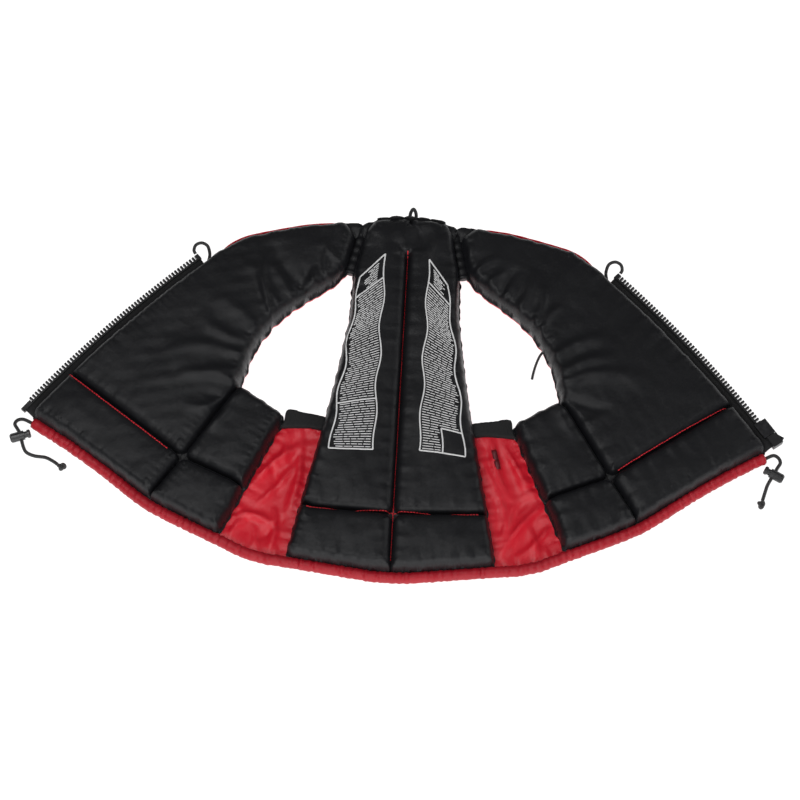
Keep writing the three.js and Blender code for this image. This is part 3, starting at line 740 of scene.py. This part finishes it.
outlines = {"back": puckered(section("back_lining", middle + 0.0008), outlineValues, 3)}
cells = {"back": [cellLoop(side + "_back_" + part) for side in signs
                  for part in ("column_foam", "lower_foam")]}
for side in signs:
    outlines[side] = puckered(section(side + "_front_lining", middle + 0.0008), outlineValues, 5)
    cells[side] = [cellLoop(side + "_chest_foam", side + "_strap_foam")]
    cells[side] += [cellLoop(side + "_" + part)
                    for part in ("waist_strip_foam", "side_upper_foam", "side_lower_foam")]
for part, loops in cells.items():
    cells[part] = [reached(loop, outlines[part], outlineValues) for loop in loops]
print("outlines read")


def acrossFold(piece, side):
    # the piece's transform is baked into its vertices
    side + "_front"
    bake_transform(piece)


# Quilted padding: foam under one lining cloth that is sewn down between the cells
quilt = {
    "step": 0.0034, "rings": (0.0007, 0.0018, 0.0034, 0.0056, 0.0086, 0.0122),
    "edgeHeight": 0.0094, "neckHeight": 0.0235, "neckLow": 0.184, "neckRun": 0.02,
    "neckHalf": 0.078, "underside": 0.0082, "seamHeight": 0.0190, "seamRun": 0.012,
    "top": 0.0322, "bevel": 0.0100, "power": 2.5, "crown": 0.0028, "crownRun": 0.03,
    "puckerPitch": 0.013, "puckerHeight": 0.0007, "puckerReach": 0.011,
    "waveSize": 0.085, "waveHeight": 0.0006, "rippleSize": 0.026, "rippleHeight": 0.00022,
}


def quiltHeight(points, outline, cellLines, values, seed):
    # from the sewn edges each cell swells over a bevel to a slightly crowned top
    edge = depthIn(points, outline)
    depths = np.array([depthIn(points, line) for line in cellLines])
    depth = depths.max(axis=0)
    chosen = depths.argmax(axis=0)
    along = np.zeros(len(points))
    for k, line in enumerate(cellLines):
        inside = chosen == k
        along[inside] = nearest(points[inside], line)[1]
    seam = eased((edge - 0.002) / values["seamRun"])
    base = values["edgeHeight"] + (values["seamHeight"] - values["edgeHeight"]) * seam
    neck = eased((points[:, 1] - values["neckLow"]) / values["neckRun"])
    neck = neck * (1 - eased((abs(points[:, 0]) - values["neckHalf"]) / values["neckRun"]))
    base = base + neck * (values["neckHeight"] - base)
    top = values["top"] + values["crown"] * (1 - np.exp(-np.maximum(depth, 0) / values["crownRun"]))
    top = top + gathers(along, depth, values["puckerPitch"], values["puckerHeight"],
                        values["puckerReach"], seed)
    top = top + values["waveHeight"] * softWaves(points, values["waveSize"], seed + 1)
    top = top + values["rippleHeight"] * softWaves(points, values["rippleSize"], seed + 2)
    return base, top, swell(depth, values["bevel"], values["power"]), depth


def quiltedPiece(name, outline, cellLines, values, seed, relief):
    # the mesh, and the function that gives the height of its top anywhere
    def surface(points):
        base, top, rise, depth = quiltHeight(points, outline, cellLines, values, seed)
        return base + (top + relief(points, depth) - base) * rise

    flat, triangles = levelNet(outline, cellLines, values["step"], values["rings"])
    under = np.full(len(flat), values["underside"])
    vertices, faces = closedForm(flat, triangles, surface(flat), under)
    return addMesh(name, vertices, faces, lining), surface


armholeFolds = {"count": 34, "lengthLow": 0.014, "lengthHigh": 0.034, "widthLow": 0.002,
                "widthHigh": 0.0036, "height": 0.0012, "lean": 0.35, "longGain": 1.45,
                "centre": (0.11, 0.06)}
# long folds that run from the armhole into the chest: x, y of both ends, bow, width, height
chestFolds = {
    "left": [(-.144, .072, -.165, .16, .005, .0042, .003), (-.154, .1, -.18, .15, -.004, .006, .0018),
             (-.1, .114, -.105, .145, .003, .004, .0026),
             (-.131, .085, -.128, .115, -.002, .003, .0018),
             (-.127, .09, -.11, .145, .003, .005, -.0018), (-.172, .015, -.22, .014, .003, .0055, .002),
             (-.172, -.004, -.25, .004, -.006, .0065, .0024),
             (-.178, -.018, -.238, -.036, .006, .0055, .0024),
             (-.182, -.026, -.23, -.064, .008, .005, .002), (-.17, .046, -.232, .08, .006, .008, .0018),
             (-.158, .06, -.214, .102, -.004, .008, .0018),
             (-.175, .03, -.268, .036, -.008, .009, .0016),
             (-.09, .13, -.092, .168, .002, .0038, .0022),
             (-.113, .116, -.156, .176, .006, .008, -.0018),
             (-.074, .152, -.098, .18, .002, .0045, .0026),
             (-.178, -.012, -.215, -.02, .002, .004, -.0018), (-.12, .1, -.15, .15, .003, .006, .0016)],
    "right": [(.074, .142, .106, .168, .003, .0042, .003), (.068, .146, .07, .184, .002, .004, .0022),
              (.152, .062, .176, .112, .006, .005, .0026),
              (.142, .076, .156, .136, -.005, .0055, .0022), (.168, .018, .24, .048, .008, .007, .0026),
              (.17, .014, .27, .026, .008, .008, .0026), (.17, .008, .236, -.014, -.006, .006, -.0022),
              (.17, .002, .216, -.034, -.006, .0055, .0022),
              (.164, .044, .232, .074, .006, .007, .0018), (.152, .064, .146, .096, .002, .004, .002),
              (.122, .094, .146, .154, -.004, .006, .002), (.105, .114, .126, .158, .003, .005, -.0018),
              (.09, .128, .112, .15, .002, .004, .002), (.172, -.006, .2, -.05, -.004, .005, .0018)],
}


def radiatingFolds(edge, values, seed):
    # folds start at even but shaken places along an edge and run square to it, leaning a little
    random = np.random.default_rng(seed)
    count = values["count"]
    places = (np.arange(count) + random.uniform(0.1, 0.9, count)) / count
    k = (places * (len(edge) - 2)).astype(int) + 1
    heading = unit(edge[k + 1] - edge[k - 1])
    square = np.column_stack([heading[:, 1], -heading[:, 0]])
    lean = random.uniform(-values["lean"], values["lean"], count)[:, None]
    ahead = square + lean * heading
    length = random.uniform(values["lengthLow"], values["lengthHigh"], count)[:, None]
    finish = edge[k] + ahead * length
    width = random.uniform(values["widthLow"], values["widthHigh"], count)
    height = values["height"] * random.uniform(0.45, 1.2, count) * random.choice([1, 1, -0.7], count)
    bow = random.uniform(-0.006, 0.006, count)
    return np.column_stack([edge[k], finish, bow, width, height])


def armholeEdge(side):
    # the stretch of a front's outline along the armhole, from the strap to the side seam
    line = outlines[side] * (signs[side], 1)
    wanted = (line[:, 0] < 0.185) & (line[:, 0] > 0.062) & (line[:, 1] < 0.152) & (line[:, 1] > 0.0)
    run = line[wanted]
    run = run[np.argsort(-run[:, 1])]
    return rounded(run, 0.008, 0.003)[4:-4] * (signs[side], 1)


def frontRelief(side, seed):
    folds = radiatingFolds(armholeEdge(side), armholeFolds, seed)
    centre = np.array(armholeFolds["centre"]) * (signs[side], 1)
    run = folds[:, 2:4] - folds[:, :2]
    outward = np.sign((run * (folds[:, :2] - centre)).sum(axis=1))
    folds[:, 2:4] = folds[:, :2] + outward[:, None] * run
    long = np.array(chestFolds[side])
    long[:, 6] *= armholeFolds["longGain"]
    folds = np.vstack([folds, long])

    def relief(points, depth):
        return foldRelief(points, folds) * eased((depth - 0.001) / 0.006)
    return relief


def backRelief(points, depth):
    # the two columns are pressed into each other near the collar, where the cloth wrinkles
    neck = eased((points[:, 1] - 0.13) / 0.06)
    return 0.0012 * neck * softWaves(points, 0.04, 71) * eased(depth / 0.004)


# the columns run into each other below the collar
bridge = np.array([(-0.03, 0.168), (0.03, 0.168), (0.042, 0.209), (-0.042, 0.209)])
quiltPieces = {}
surfaces = {}
quiltPieces["back"], surfaces["back"] = quiltedPiece(
    "back_padding", outlines["back"], [*cells["back"], spaced(bridge, 0.003, True)], quilt, 21,
    backRelief)
for side, seed in (("left", 31), ("right", 41)):
    quiltPieces[side], surfaces[side] = quiltedPiece(
        side + "_front_padding", outlines[side], cells[side], quilt, seed,
        frontRelief(side, seed + 5))
foams = {"back": [side + "_back_" + part for side in signs for part in
                  ("column_foam", "lower_foam")]}
for side in signs:
    foams[side] = [side + "_" + part for part in (
        "chest_foam", "strap_foam", "waist_strip_foam", "side_upper_foam", "side_lower_foam")]
bodies = {"back": "back", "left": "left_front", "right": "right_front"}
for part, piece in quiltPieces.items():
    placed(piece, bodies[part], "lining", bodies[part] + "_lining", *foams[part])
print("padding made")


# Outer shell, on which the vest lies
shellValues = {"step": 0.006, "rings": (0.0006, 0.0016, 0.0034, 0.0062, 0.01), "top": 0.0079,
               "bevel": 0.010, "power": 2.3, "groove": 0.0042, "grooveWidth": 0.006,
               "rollRadius": 0.0016, "rollFoot": 0.0072, "rollTall": 0.0075, "rollOut": 0.0004}


def shellPiece(name, outline, cellLines, values):
    flat, triangles = levelNet(outline, cellLines, values["step"], values["rings"])
    edge = depthIn(flat, outline)
    depth = np.max([depthIn(flat, line) for line in cellLines], axis=0)
    floor = values["top"] * (1 - swell(edge, values["bevel"], values["power"]))
    groove = values["groove"] * (1 - eased((depth + 0.002) / values["grooveWidth"]))
    floor = np.maximum(floor, np.minimum(groove, values["top"] - 0.001))
    vertices, faces = closedForm(flat, triangles, np.full(len(flat), values["top"]), floor)
    return addMesh(name, vertices, faces, shell)


def neckRoll(side, values):
    # the shell's edge stands up along the neck edge of the padding and shows as a thin red line
    line = rounded(outlines[side], 0.012, 0.003)
    out = outwardOf(line)
    wanted = (line[:, 1] > 0.165) & (abs(line[:, 0]) > 0.070) & (out[:, 1] > 0.6)
    run = (line + values["rollOut"] * out)[wanted]
    run = spaced(run[np.argsort(abs(run[:, 0]))], 0.004)
    ends = np.minimum(np.arange(len(run)), np.arange(len(run))[::-1])
    tall = values["rollTall"] * (0.35 + 0.65 * eased(ends / 5))
    path = np.column_stack([run, values["rollFoot"] + tall])
    turn = fullTurn(16)
    across = values["rollRadius"] * np.outer(np.ones(len(run)), np.cos(turn))
    vertices, faces, _ = carried(path, across, np.outer(tall, np.sin(turn)))
    return addMesh(side + "_neck_roll", vertices, faces, shell)


def withPart(piece, part):
    # the second mesh becomes part of the first
    bpy.ops.object.select_all(action="DESELECT")
    part.select_set(True)
    piece.select_set(True)
    bpy.context.view_layer.objects.active = piece
    bpy.ops.object.join()


for part, body in bodies.items():
    cover = shellPiece(body + "_outer_shell", outlines[part], cells[part], shellValues)
    if part in signs:
        withPart(cover, neckRoll(part, shellValues))
    placed(cover, body, "shell", body + "_shell")
print("shell made")


# Pieces across the folds: shoulder joins, side panels and their elastic binding
shoulderJoin = {"halfWidth": 0.0072, "halfTall": 0.0052, "height": 0.0128, "from": -0.0285,
                "to": 0.0325, "blend": 0.007}


def addShoulderJoin(side, values):
    # lining and shell run on across the fold as a pinched strip: its section is an oval
    places = np.linspace(values["from"], values["to"], 30)
    path = foldPoint - places[:, None] * foldAxis
    path = path * (signs[side], 1, 1)
    path[:, 2] = values["height"]
    turn = fullTurn(20)
    pinch = 1 + 0.12 * np.sin(places * 2 * np.pi / 0.011)
    across = values["halfWidth"] * np.outer(np.ones(len(path)), np.cos(turn))
    up = values["halfTall"] * np.outer(pinch, np.sin(turn))
    vertices, faces, _ = carried(path, across, up)
    piece = addMesh(side + "_shoulder_join", vertices, faces, lining)
    piece.data.materials.append(shell)
    normals = np.zeros(len(piece.data.polygons) * 3)
    piece.data.polygons.foreach_get("normal", normals)
    under = (normals.reshape(-1, 3)[:, 2] < -0.1).astype(np.int32)
    piece.data.polygons.foreach_set("material_index", under)
    acrossFold(piece, side)
    placed(piece, None, "lining")


sidePanel = {"step": 0.0034, "rings": (0.001, 0.0025, 0.005), "grow": 0.0018, "edge": 0.0079,
             "sag": 0.0052, "run": 0.022, "thick": 0.0007, "waveSize": 0.05, "waveHeight": 0.0006,
             "gatherPitch": 0.011, "gatherHeight": 0.0010, "gatherReach": 0.012, "blend": 0.03,
             "drape": 1.25, "bound": 0.0012, "patchDepth": 0.0005}
# a small darker patch laid on the cloth below the right binding
sidePatch = {"line": [(0.1065, -0.060), (0.1125, -0.082)], "half": 0.0028, "lift": 0.0021,
             "step": 0.002}
# x, y of both ends, the bow, the half width and the height of each drape fold
panelFolds = {
    "left": [(-.166, -.122, -.098, -.058, .004, .0055, .0052),
             (-.15, -.136, -.106, -.078, -.003, .004, .003),
             (-.176, -.15, -.128, -.16, .006, .0045, .0042),
             (-.16, -.15, -.178, -.186, -.003, .004, .0032),
             (-.13, -.142, -.133, -.196, .003, .0045, .0036),
             (-.106, -.07, -.118, -.15, .005, .005, .0036),
             (-.145, -.078, -.128, -.128, .004, .004, -.0022),
             (-.152, -.16, -.148, -.196, .002, .0035, .0024),
             (-.118, -.048, -.122, -.09, -.003, .0035, .0026),
             (-.12, -.15, -.15, -.178, .003, .004, -.002)],
    "right": [(.104, -.048, .124, -.118, -.004, .005, .0046),
              (.095, -.076, .124, -.154, .004, .0045, .004),
              (.16, -.124, .116, -.19, -.005, .005, .0048),
              (.17, -.146, .134, -.186, .003, .004, .0034),
              (.12, -.058, .146, -.116, .003, .004, .0036),
              (.138, -.07, .158, -.12, -.002, .0035, .0024),
              (.128, -.128, .112, -.176, .003, .0045, .003),
              (.112, -.1, .118, -.14, -.002, .0035, -.0022),
              (.15, -.15, .158, -.19, .002, .0035, .0024),
              (.144, -.118, .126, -.15, -.003, .004, -.0018)],
}


def lifted(loop, inner=0.084, run=0.046):
    # the band's back end is pulled up towards the armhole, and the cloth below follows it
    wide = abs(loop[:, 0])
    back = 1 - np.clip((wide - inner) / run, 0, 1)
    high = eased((loop[:, 1] + 0.105) / 0.05)
    tip = eased((wide - 0.112) / 0.018) * eased((loop[:, 1] + 0.050) / 0.02)
    sideways = -0.0050 * back ** 3 * high + 0.002 * tip
    rise = (0.0015 + 0.0095 * back) * high - 0.0075 * tip
    return loop + np.column_stack([np.sign(loop[:, 0]) * sideways, rise])


def panelLoop(side, part, grow):
    loop = joinedLoop(section(f"{side}_{part}_back", middle),
                      section(f"{side}_{part}_front", middle), outlineValues["slack"])
    step = outlineValues["step"]
    loop = besideLoop(spaced(loop, step, True), -grow)
    return lifted(spaced(loop, step, True))


def addSidePanel(side, values):
    # thin cloth that hangs between the padded edges in drape folds
    loop = panelLoop(side, "side_panel", values["grow"])
    flat, triangles = levelNet(loop, [], values["step"], values["rings"])
    depth, along = nearest(flat, loop)
    free = eased((depth - values["grow"]) / values["run"])
    drape = values["drape"] * foldRelief(flat, panelFolds[side])
    drape = drape + values["waveHeight"] * softWaves(flat, values["waveSize"], 12 + signs[side])
    pucker = gathers(along, depth, values["gatherPitch"], values["gatherHeight"],
                     values["gatherReach"], 15) * eased(depth / 0.004)
    top = values["edge"] * (1 - free) + values["sag"] * free + drape * eased(depth / 0.012) + pucker
    top = np.maximum(top, values["bound"])
    vertices, faces = closedForm(flat, triangles, top, top - values["thick"])
    piece = addMesh(side + "_side_panel", vertices, faces, shell)
    if side == "right":
        def clothHeight(points):
            gap = np.linalg.norm(points[:, None] - flat[None], axis=-1)
            return top[gap.argmin(axis=1)]

        line = spaced(np.array(sidePatch["line"]), sidePatch["step"])
        vertices, faces = ribbons([line], sidePatch["half"], clothHeight, sidePatch["lift"],
                                  values["patchDepth"])
        withPart(piece, addMesh("side_patch", vertices, faces, patchCloth))
    acrossFold(piece, side)
    placed(piece, None, "shell", side + "_side_panel_back", side + "_side_panel_front")
    side + "_front_padding"


bindingValues = {"step": 0.0026, "rings": (0.0006, 0.0016), "base": 0.0110, "thick": 0.0035,
                 "bevel": 0.0022, "rib": 0.0006, "ribPitch": 0.006, "blend": 0.02}


def addSideBinding(side, values):
    # gathered elastic along the top of the side panel: ribs run across its width
    loop = panelLoop(side, "side_binding", 0.0006)
    flat, triangles = levelNet(loop, [], values["step"], values["rings"])
    depth, _ = nearest(flat, loop)
    across = flat @ np.array([0.93 * signs[side], 0.36])
    wave = np.sin(across * 2 * np.pi / values["ribPitch"] + 0.8 * softWaves(flat, 0.03, 8))
    rise = swell(depth, values["bevel"], 2)
    sag = -0.0026 * np.sin(np.clip((abs(flat[:, 0]) - 0.084) / 0.046, 0, 1) * np.pi)
    top = values["base"] + sag + values["thick"] * rise + values["rib"] * wave * rise
    under = np.full(len(flat), values["base"]) + sag - 0.0004
    vertices, faces = closedForm(flat, triangles, top, under)
    piece = addMesh(side + "_side_binding", vertices, faces, elastic)
    acrossFold(piece, side)
    placed(piece, None, "binding", side + "_side_binding_back", side + "_side_binding_front")


for side in signs:
    addShoulderJoin(side, shoulderJoin)
    addSidePanel(side, sidePanel)
    addSideBinding(side, bindingValues)
print("side pieces made")


# Hem casing and collar binding
def middleLine(node, height, step):
    # the line halfway between the two long sides of a narrow section
    loop = spaced(section(node, height), 0.001, True)
    away = np.linalg.norm(loop - loop.mean(axis=0), axis=1)
    one = away.argmax()
    other = np.linalg.norm(loop - loop[one], axis=1).argmax()
    loop = np.roll(loop, -one, axis=0)
    turn = (other - one) % len(loop)
    first, second = loop[:turn + 1], np.vstack([loop[turn:], loop[:1]])[::-1]
    count = int(lengthOf(first) / step)
    first, second = (spaced(line, lengthOf(line) / count) for line in (first, second))
    return (first + second) / 2


hem = {"halfWide": 0.0064, "halfTall": 0.0070, "height": 0.0077, "step": 0.0016, "sides": 26,
       "split": 0.098, "pucker": 0.040, "puckerPitch": 0.0050, "blend": 0.02}


def addHem(values):
    # the hem's casing is gathered on its cord, so its oval section swells and shrinks along it
    lines = [middleLine(node, 0.0041, 0.004) for node in
             ("left_hem_cord", "back_hem_cord", "right_hem_cord")]
    lines = [line[np.argsort(line[:, 0])][1:-1] for line in lines]
    whole = spaced(np.vstack(lines), values["step"])
    path = np.column_stack([whole, np.full(len(whole), values["height"])])
    along = np.arange(len(path)) * values["step"]
    turn = fullTurn(values["sides"])
    wave = gathers(along, 0, values["puckerPitch"], values["pucker"], 1, 61)[:, None]
    slant = gathers(along, 0, 3 * values["puckerPitch"], values["pucker"], 1, 62)[:, None]
    size = 1 - values["pucker"] + wave * (1 + 0.5 * np.sin(turn)) + slant * np.cos(turn + 0.7)
    across = values["halfWide"] * size * np.cos(turn)
    up = values["halfTall"] * size * np.sin(turn)
    up = np.maximum(up, 0.0004 - values["height"])
    cuts = {"left": path[:, 0] < -values["split"], "back": abs(path[:, 0]) <= values["split"],
            "right": path[:, 0] > values["split"]}
    for part, wanted in cuts.items():
        rows = np.flatnonzero(wanted)
        rows = np.arange(max(rows[0] - 1, 0), rows[-1] + 1)
        vertices, faces, _ = carried(path[rows], across[rows], up[rows])
        name = "back_hem" if part == "back" else part + "_hem"
        piece = addMesh(name, vertices, faces, casingCloth)
        placed(piece, "back" if part == "back" else None, "shell", name + "_casing")
        if part != "back":
            acrossFold(piece, part)


collar = {"halfAcross": 0.0024, "halfUp": 0.0105, "height": 0.0180, "step": 0.0022, "sides": 22,
          "half": 0.051, "pucker": 0.10, "puckerPitch": 0.013}


def addCollarBinding(values):
    line = outlines["back"]
    line = line[(line[:, 1] > 0.19) & (abs(line[:, 0]) < values["half"])]
    line = spaced(rounded(line[np.argsort(line[:, 0])], 0.012, 0.003)[5:-5], values["step"])
    path = np.column_stack([line, np.full(len(line), values["height"])])
    along = np.arange(len(path)) * values["step"]
    path[:, 2] += gathers(along, 0, 0.024, 0.0016, 1, 66)
    turn = fullTurn(values["sides"])
    size = 1 + gathers(along, 0, values["puckerPitch"], values["pucker"], 1, 67)[:, None]
    vertices, faces, _ = carried(path, values["halfAcross"] * size * np.cos(turn),
                                 values["halfUp"] * size * np.sin(turn))
    piece = addMesh("neck_binding", vertices, faces, elastic)
    placed(piece, "back", "binding", "collar_binding")


addHem(hem)
addCollarBinding(collar)
print("hem and collar made")


# Zip tapes and the small cord loops
tapeValues = {"from": -0.012, "to": -0.0015, "inner": -0.0172, "outer": -0.0016, "thick": 0.0012,
              "drop": 0.006, "steps": 60}
# out from the zip's upper end, along it and up; and beside the collar's middle
zipLoop = {"foot": 0.003, "out": 0.0043, "radius": 0.0019, "steps": 44,
           "route": [(0, .001, .001), (.004, .002, .003), (.0065, .007, .006),
                     (.004, .0135, .007), (-.003, .0165, .006), (-.0105, .0135, .001),
                     (-.014, .0085, -.005)]}
hangingLoop = {"middle": 0.0035, "foot": 0.2145, "half": 0.0035, "radius": 0.002, "steps": 60,
               "route": [(-1, 0, -.001), (-1, .005, 0), (-.9, .012, .005), (0, .016, .008),
                         (.9, .012, .005), (1, .005, 0), (1, 0, -.001)]}


def addTape(side, values):
    # a woven band from the teeth into the seam, where it dips under the lining's edge
    along = np.linspace(values["from"], zipLength + values["to"], values["steps"])
    out = np.array([values["outer"], -0.007, -0.0092, -0.0125, values["inner"]])
    drop = np.array([0, 0, 0.0006, 0.0030, values["drop"]])
    out = np.concatenate([out, out[::-1]])
    up = np.concatenate([middle + values["thick"] / 2 - drop,
                         (middle - values["thick"] / 2 - drop)[::-1]])
    rings = np.stack([np.column_stack([zipPoints(along, o, signs[side]), np.full(len(along), h)])
                      for o, h in zip(out, up)], axis=1)
    faces = ringFaces(len(along), len(out))
    if signs[side] > 0:
        faces = [face[::-1] for face in faces]
    piece = addMesh(side + "_tape", rings.reshape(-1, 3), faces, tapeCloth)
    placed(piece, side + "_front", "tape", side + "_zip_tape")


def addZipLoop(side, values):
    out, along, up = np.array(values["route"]).T
    place = zipPoints(zipLength - values["foot"] + along, values["out"] + out, signs[side])
    path = smoothPath(np.column_stack([place, middle + up]), values["steps"])
    piece = tube(side + "_zip_cord_loop", path, values["radius"], braid)
    placed(piece, side + "_front", "cord", side + "_zip_loop")


def addHangingLoop(values):
    sideways, out, up = np.array(values["route"]).T
    points = np.column_stack([values["middle"] + values["half"] * sideways,
                              values["foot"] + out, middle + up])
    piece = tube("neck_hanging_loop", smoothPath(points, values["steps"]), values["radius"], braid)
    placed(piece, "back", "cord", "hanging_loop")


for side in signs:
    addTape(side, tapeValues)
    addZipLoop(side, zipLoop)
addHangingLoop(hangingLoop)
print("zip tapes and loops made")


# Printed panels and red stitches on the back
printValues = {"lift": 0.0003, "depth": 0.0005, "pitch": 0.0031, "row": 0.00045, "line": 0.0008,
               "wave": 0.0022, "waves": 3.3, "dashLow": 0.004, "dashHigh": 0.013, "gap": 0.0011,
               "steps": 120, "split": 0.875, "foot": 0.255, "box": 0.13, "clear": 0.008,
               "from": 0.012, "to": 0.985, "wideLow": 0.049, "narrowing": 0.010}
# the corners of each panel: top inner, top outer, bottom outer, bottom inner
printCorners = {
    "left": np.array([(-.0252, .166), (-.0524, .1352), (-.0741, -.0765), (-.0256, -.0752)]),
    "right": np.array([(.0249, .1617), (.047, .1305), (.0754, -.0783), (.0251, -.0737)]),
}
stitchValues = {"long": 0.0026, "gap": 0.0008, "step": 0.0002, "half": 0.00055,
                "lift": 0.0006, "depth": 0.0006}


def printPlace(side, across, up, values):
    # across from the inner to the outer side, up from the bottom to the top, both 0 to 1;
    # the long sides wave in and out
    topInner, topOuter, bottomOuter, bottomInner = printCorners[side]
    low = bottomInner + (bottomOuter - bottomInner) * across[:, None]
    high = topInner + (topOuter - topInner) * across[:, None]
    place = low + (high - low) * up[:, None]
    wave = np.sin(up * values["waves"] * 2 * np.pi + 1.1) * np.sin(np.pi * np.clip(up, 0, 1)) ** 0.5
    place[:, 0] += values["wave"] * wave * signs[side]
    return place


def addPrint(side, values, seed):
    # a waved frame, a slanted box at the top and rows of dashes that stand for small print
    random = np.random.default_rng(seed)
    run = np.linspace(0, 1, values["steps"])
    zero, one = 0 * run, 0 * run + 1
    split, foot, box = values["split"], values["foot"], values["box"]
    ends = [(zero, run), (one, run), (run, zero), (run, one), (run, split * one)]
    if side == "left":
        ends.append((run, foot * one))
    else:
        ends += [(0.5 * one, box * run), (0.5 + 0.5 * run, box * one)]
    frameLines = [printPlace(side, across, up, values) for across, up in ends]
    tall = np.linalg.norm(printCorners[side][0] - printCorners[side][3])
    rows = []
    for up in np.arange(values["from"], values["to"], values["pitch"] / tall):
        wide = values["wideLow"] - values["narrowing"] * up
        left, right = 0.05, 0.93 - 0.05 * random.uniform(0, 1) ** 2
        if abs(up - split) < values["clear"] or (side == "left" and abs(up - foot) < values["clear"]):
            continue
        if up > split:
            left, right = 0.22, random.uniform(0.5, 0.8)
        if side == "right" and up < box + 0.007:
            right = 0.45
        place = left
        while place < right - 0.06:
            size = random.uniform(values["dashLow"], values["dashHigh"]) / wide
            finish = min(place + size, right)
            rows.append(printPlace(side, np.linspace(place, finish, 7), np.full(7, up), values))
            place = finish + values["gap"] / wide
    surface = surfaces["back"]
    lines = ribbons(frameLines, values["line"], surface, values["lift"], values["depth"])
    dashes = ribbons(rows, values["row"], surface, values["lift"], values["depth"])
    vertices = np.vstack([lines[0], dashes[0]])
    faces = lines[1] + (np.array(dashes[1]) + len(lines[0])).tolist()
    piece = addMesh(side + "_print", vertices, faces, printInk)
    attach(piece, "back")


def addStitches(name, line, body, surface, values):
    # short bars of thread, end to end along a seam
    line = spaced(np.array(line), values["step"])
    pitch = int(round((values["long"] + values["gap"]) / values["step"]))
    run = int(round(values["long"] / values["step"]))
    starts = np.arange(0, len(line) - run, pitch)
    places = line[starts[:, None] + np.linspace(0, run, 5).astype(int)]
    vertices, faces = ribbons(places, values["half"], surface, values["lift"], values["depth"])
    piece = addMesh(name, vertices, faces, thread)
    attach(piece, body)


for side, seed in (("left", 81), ("right", 91)):
    addPrint(side, printValues, seed)
seams = {"centre": ("back", [(0, 0.172), (0, -0.199)]),
         "back_cross": ("back", [(-0.094, -0.1438), (0.094, -0.1438)]),
         "left_seam": ("left", [(-.377, .006), (-.326, -.031), (-.272, -.069), (-.250, -.085)]),
         "right_seam": ("right", [(.373, .007), (.316, -.031), (.262, -.069), (.240, -.085)])}
for name, (part, line) in seams.items():
    addStitches(name + "_stitches", line, bodies[part], surfaces[part], stitchValues)
print("print and stitches made")


# Finishes of the frame's own pieces
finishes = {"zip_teeth": moulded, "zip_top_stop": moulded, "zip_pin": moulded, "zip_box": moulded,
            "zip_slider": metal, "zip_puller": metal, "lock_barrel": moulded,
            "lock_plunger": moulded, "hem_cord": braid}
for name, node in frame["nodes"].items():
    for ending, finish in finishes.items():
        if name.endswith(ending) and not node.hide_render:
            node.data.materials.clear()
            node.data.materials.append(finish)

# Floor and light
floor = bpy.data.objects.new("floor", bpy.data.meshes.new("floor"))
half = studio["floorSize"] / 2
floor.data.from_pydata([(-half, -half, 0), (half, -half, 0), (half, half, 0), (-half, half, 0)],
                       [], [(0, 1, 2, 3)])
bpy.context.scene.collection.objects.link(floor)
floorTree = Tree("studio floor")
floor.data.materials.append(floorTree.finish({
    "Base Color": studio["floorColour"], "Roughness": 0.9,
    "Emission Color": (1, 1, 1, 1), "Emission Strength": studio["floorGlow"]}))
world = bpy.data.worlds.new("studio")
world.use_nodes = True
world.node_tree.nodes["Background"].inputs[0].default_value = studio["skyColour"]
world.node_tree.nodes["Background"].inputs[1].default_value = studio["skyStrength"]
bpy.context.scene.world = world
for name, values in lamps.items():
    addLamp(name + " softbox", values)
bpy.context.scene.view_settings.view_transform = "Standard"

print("scene ready")
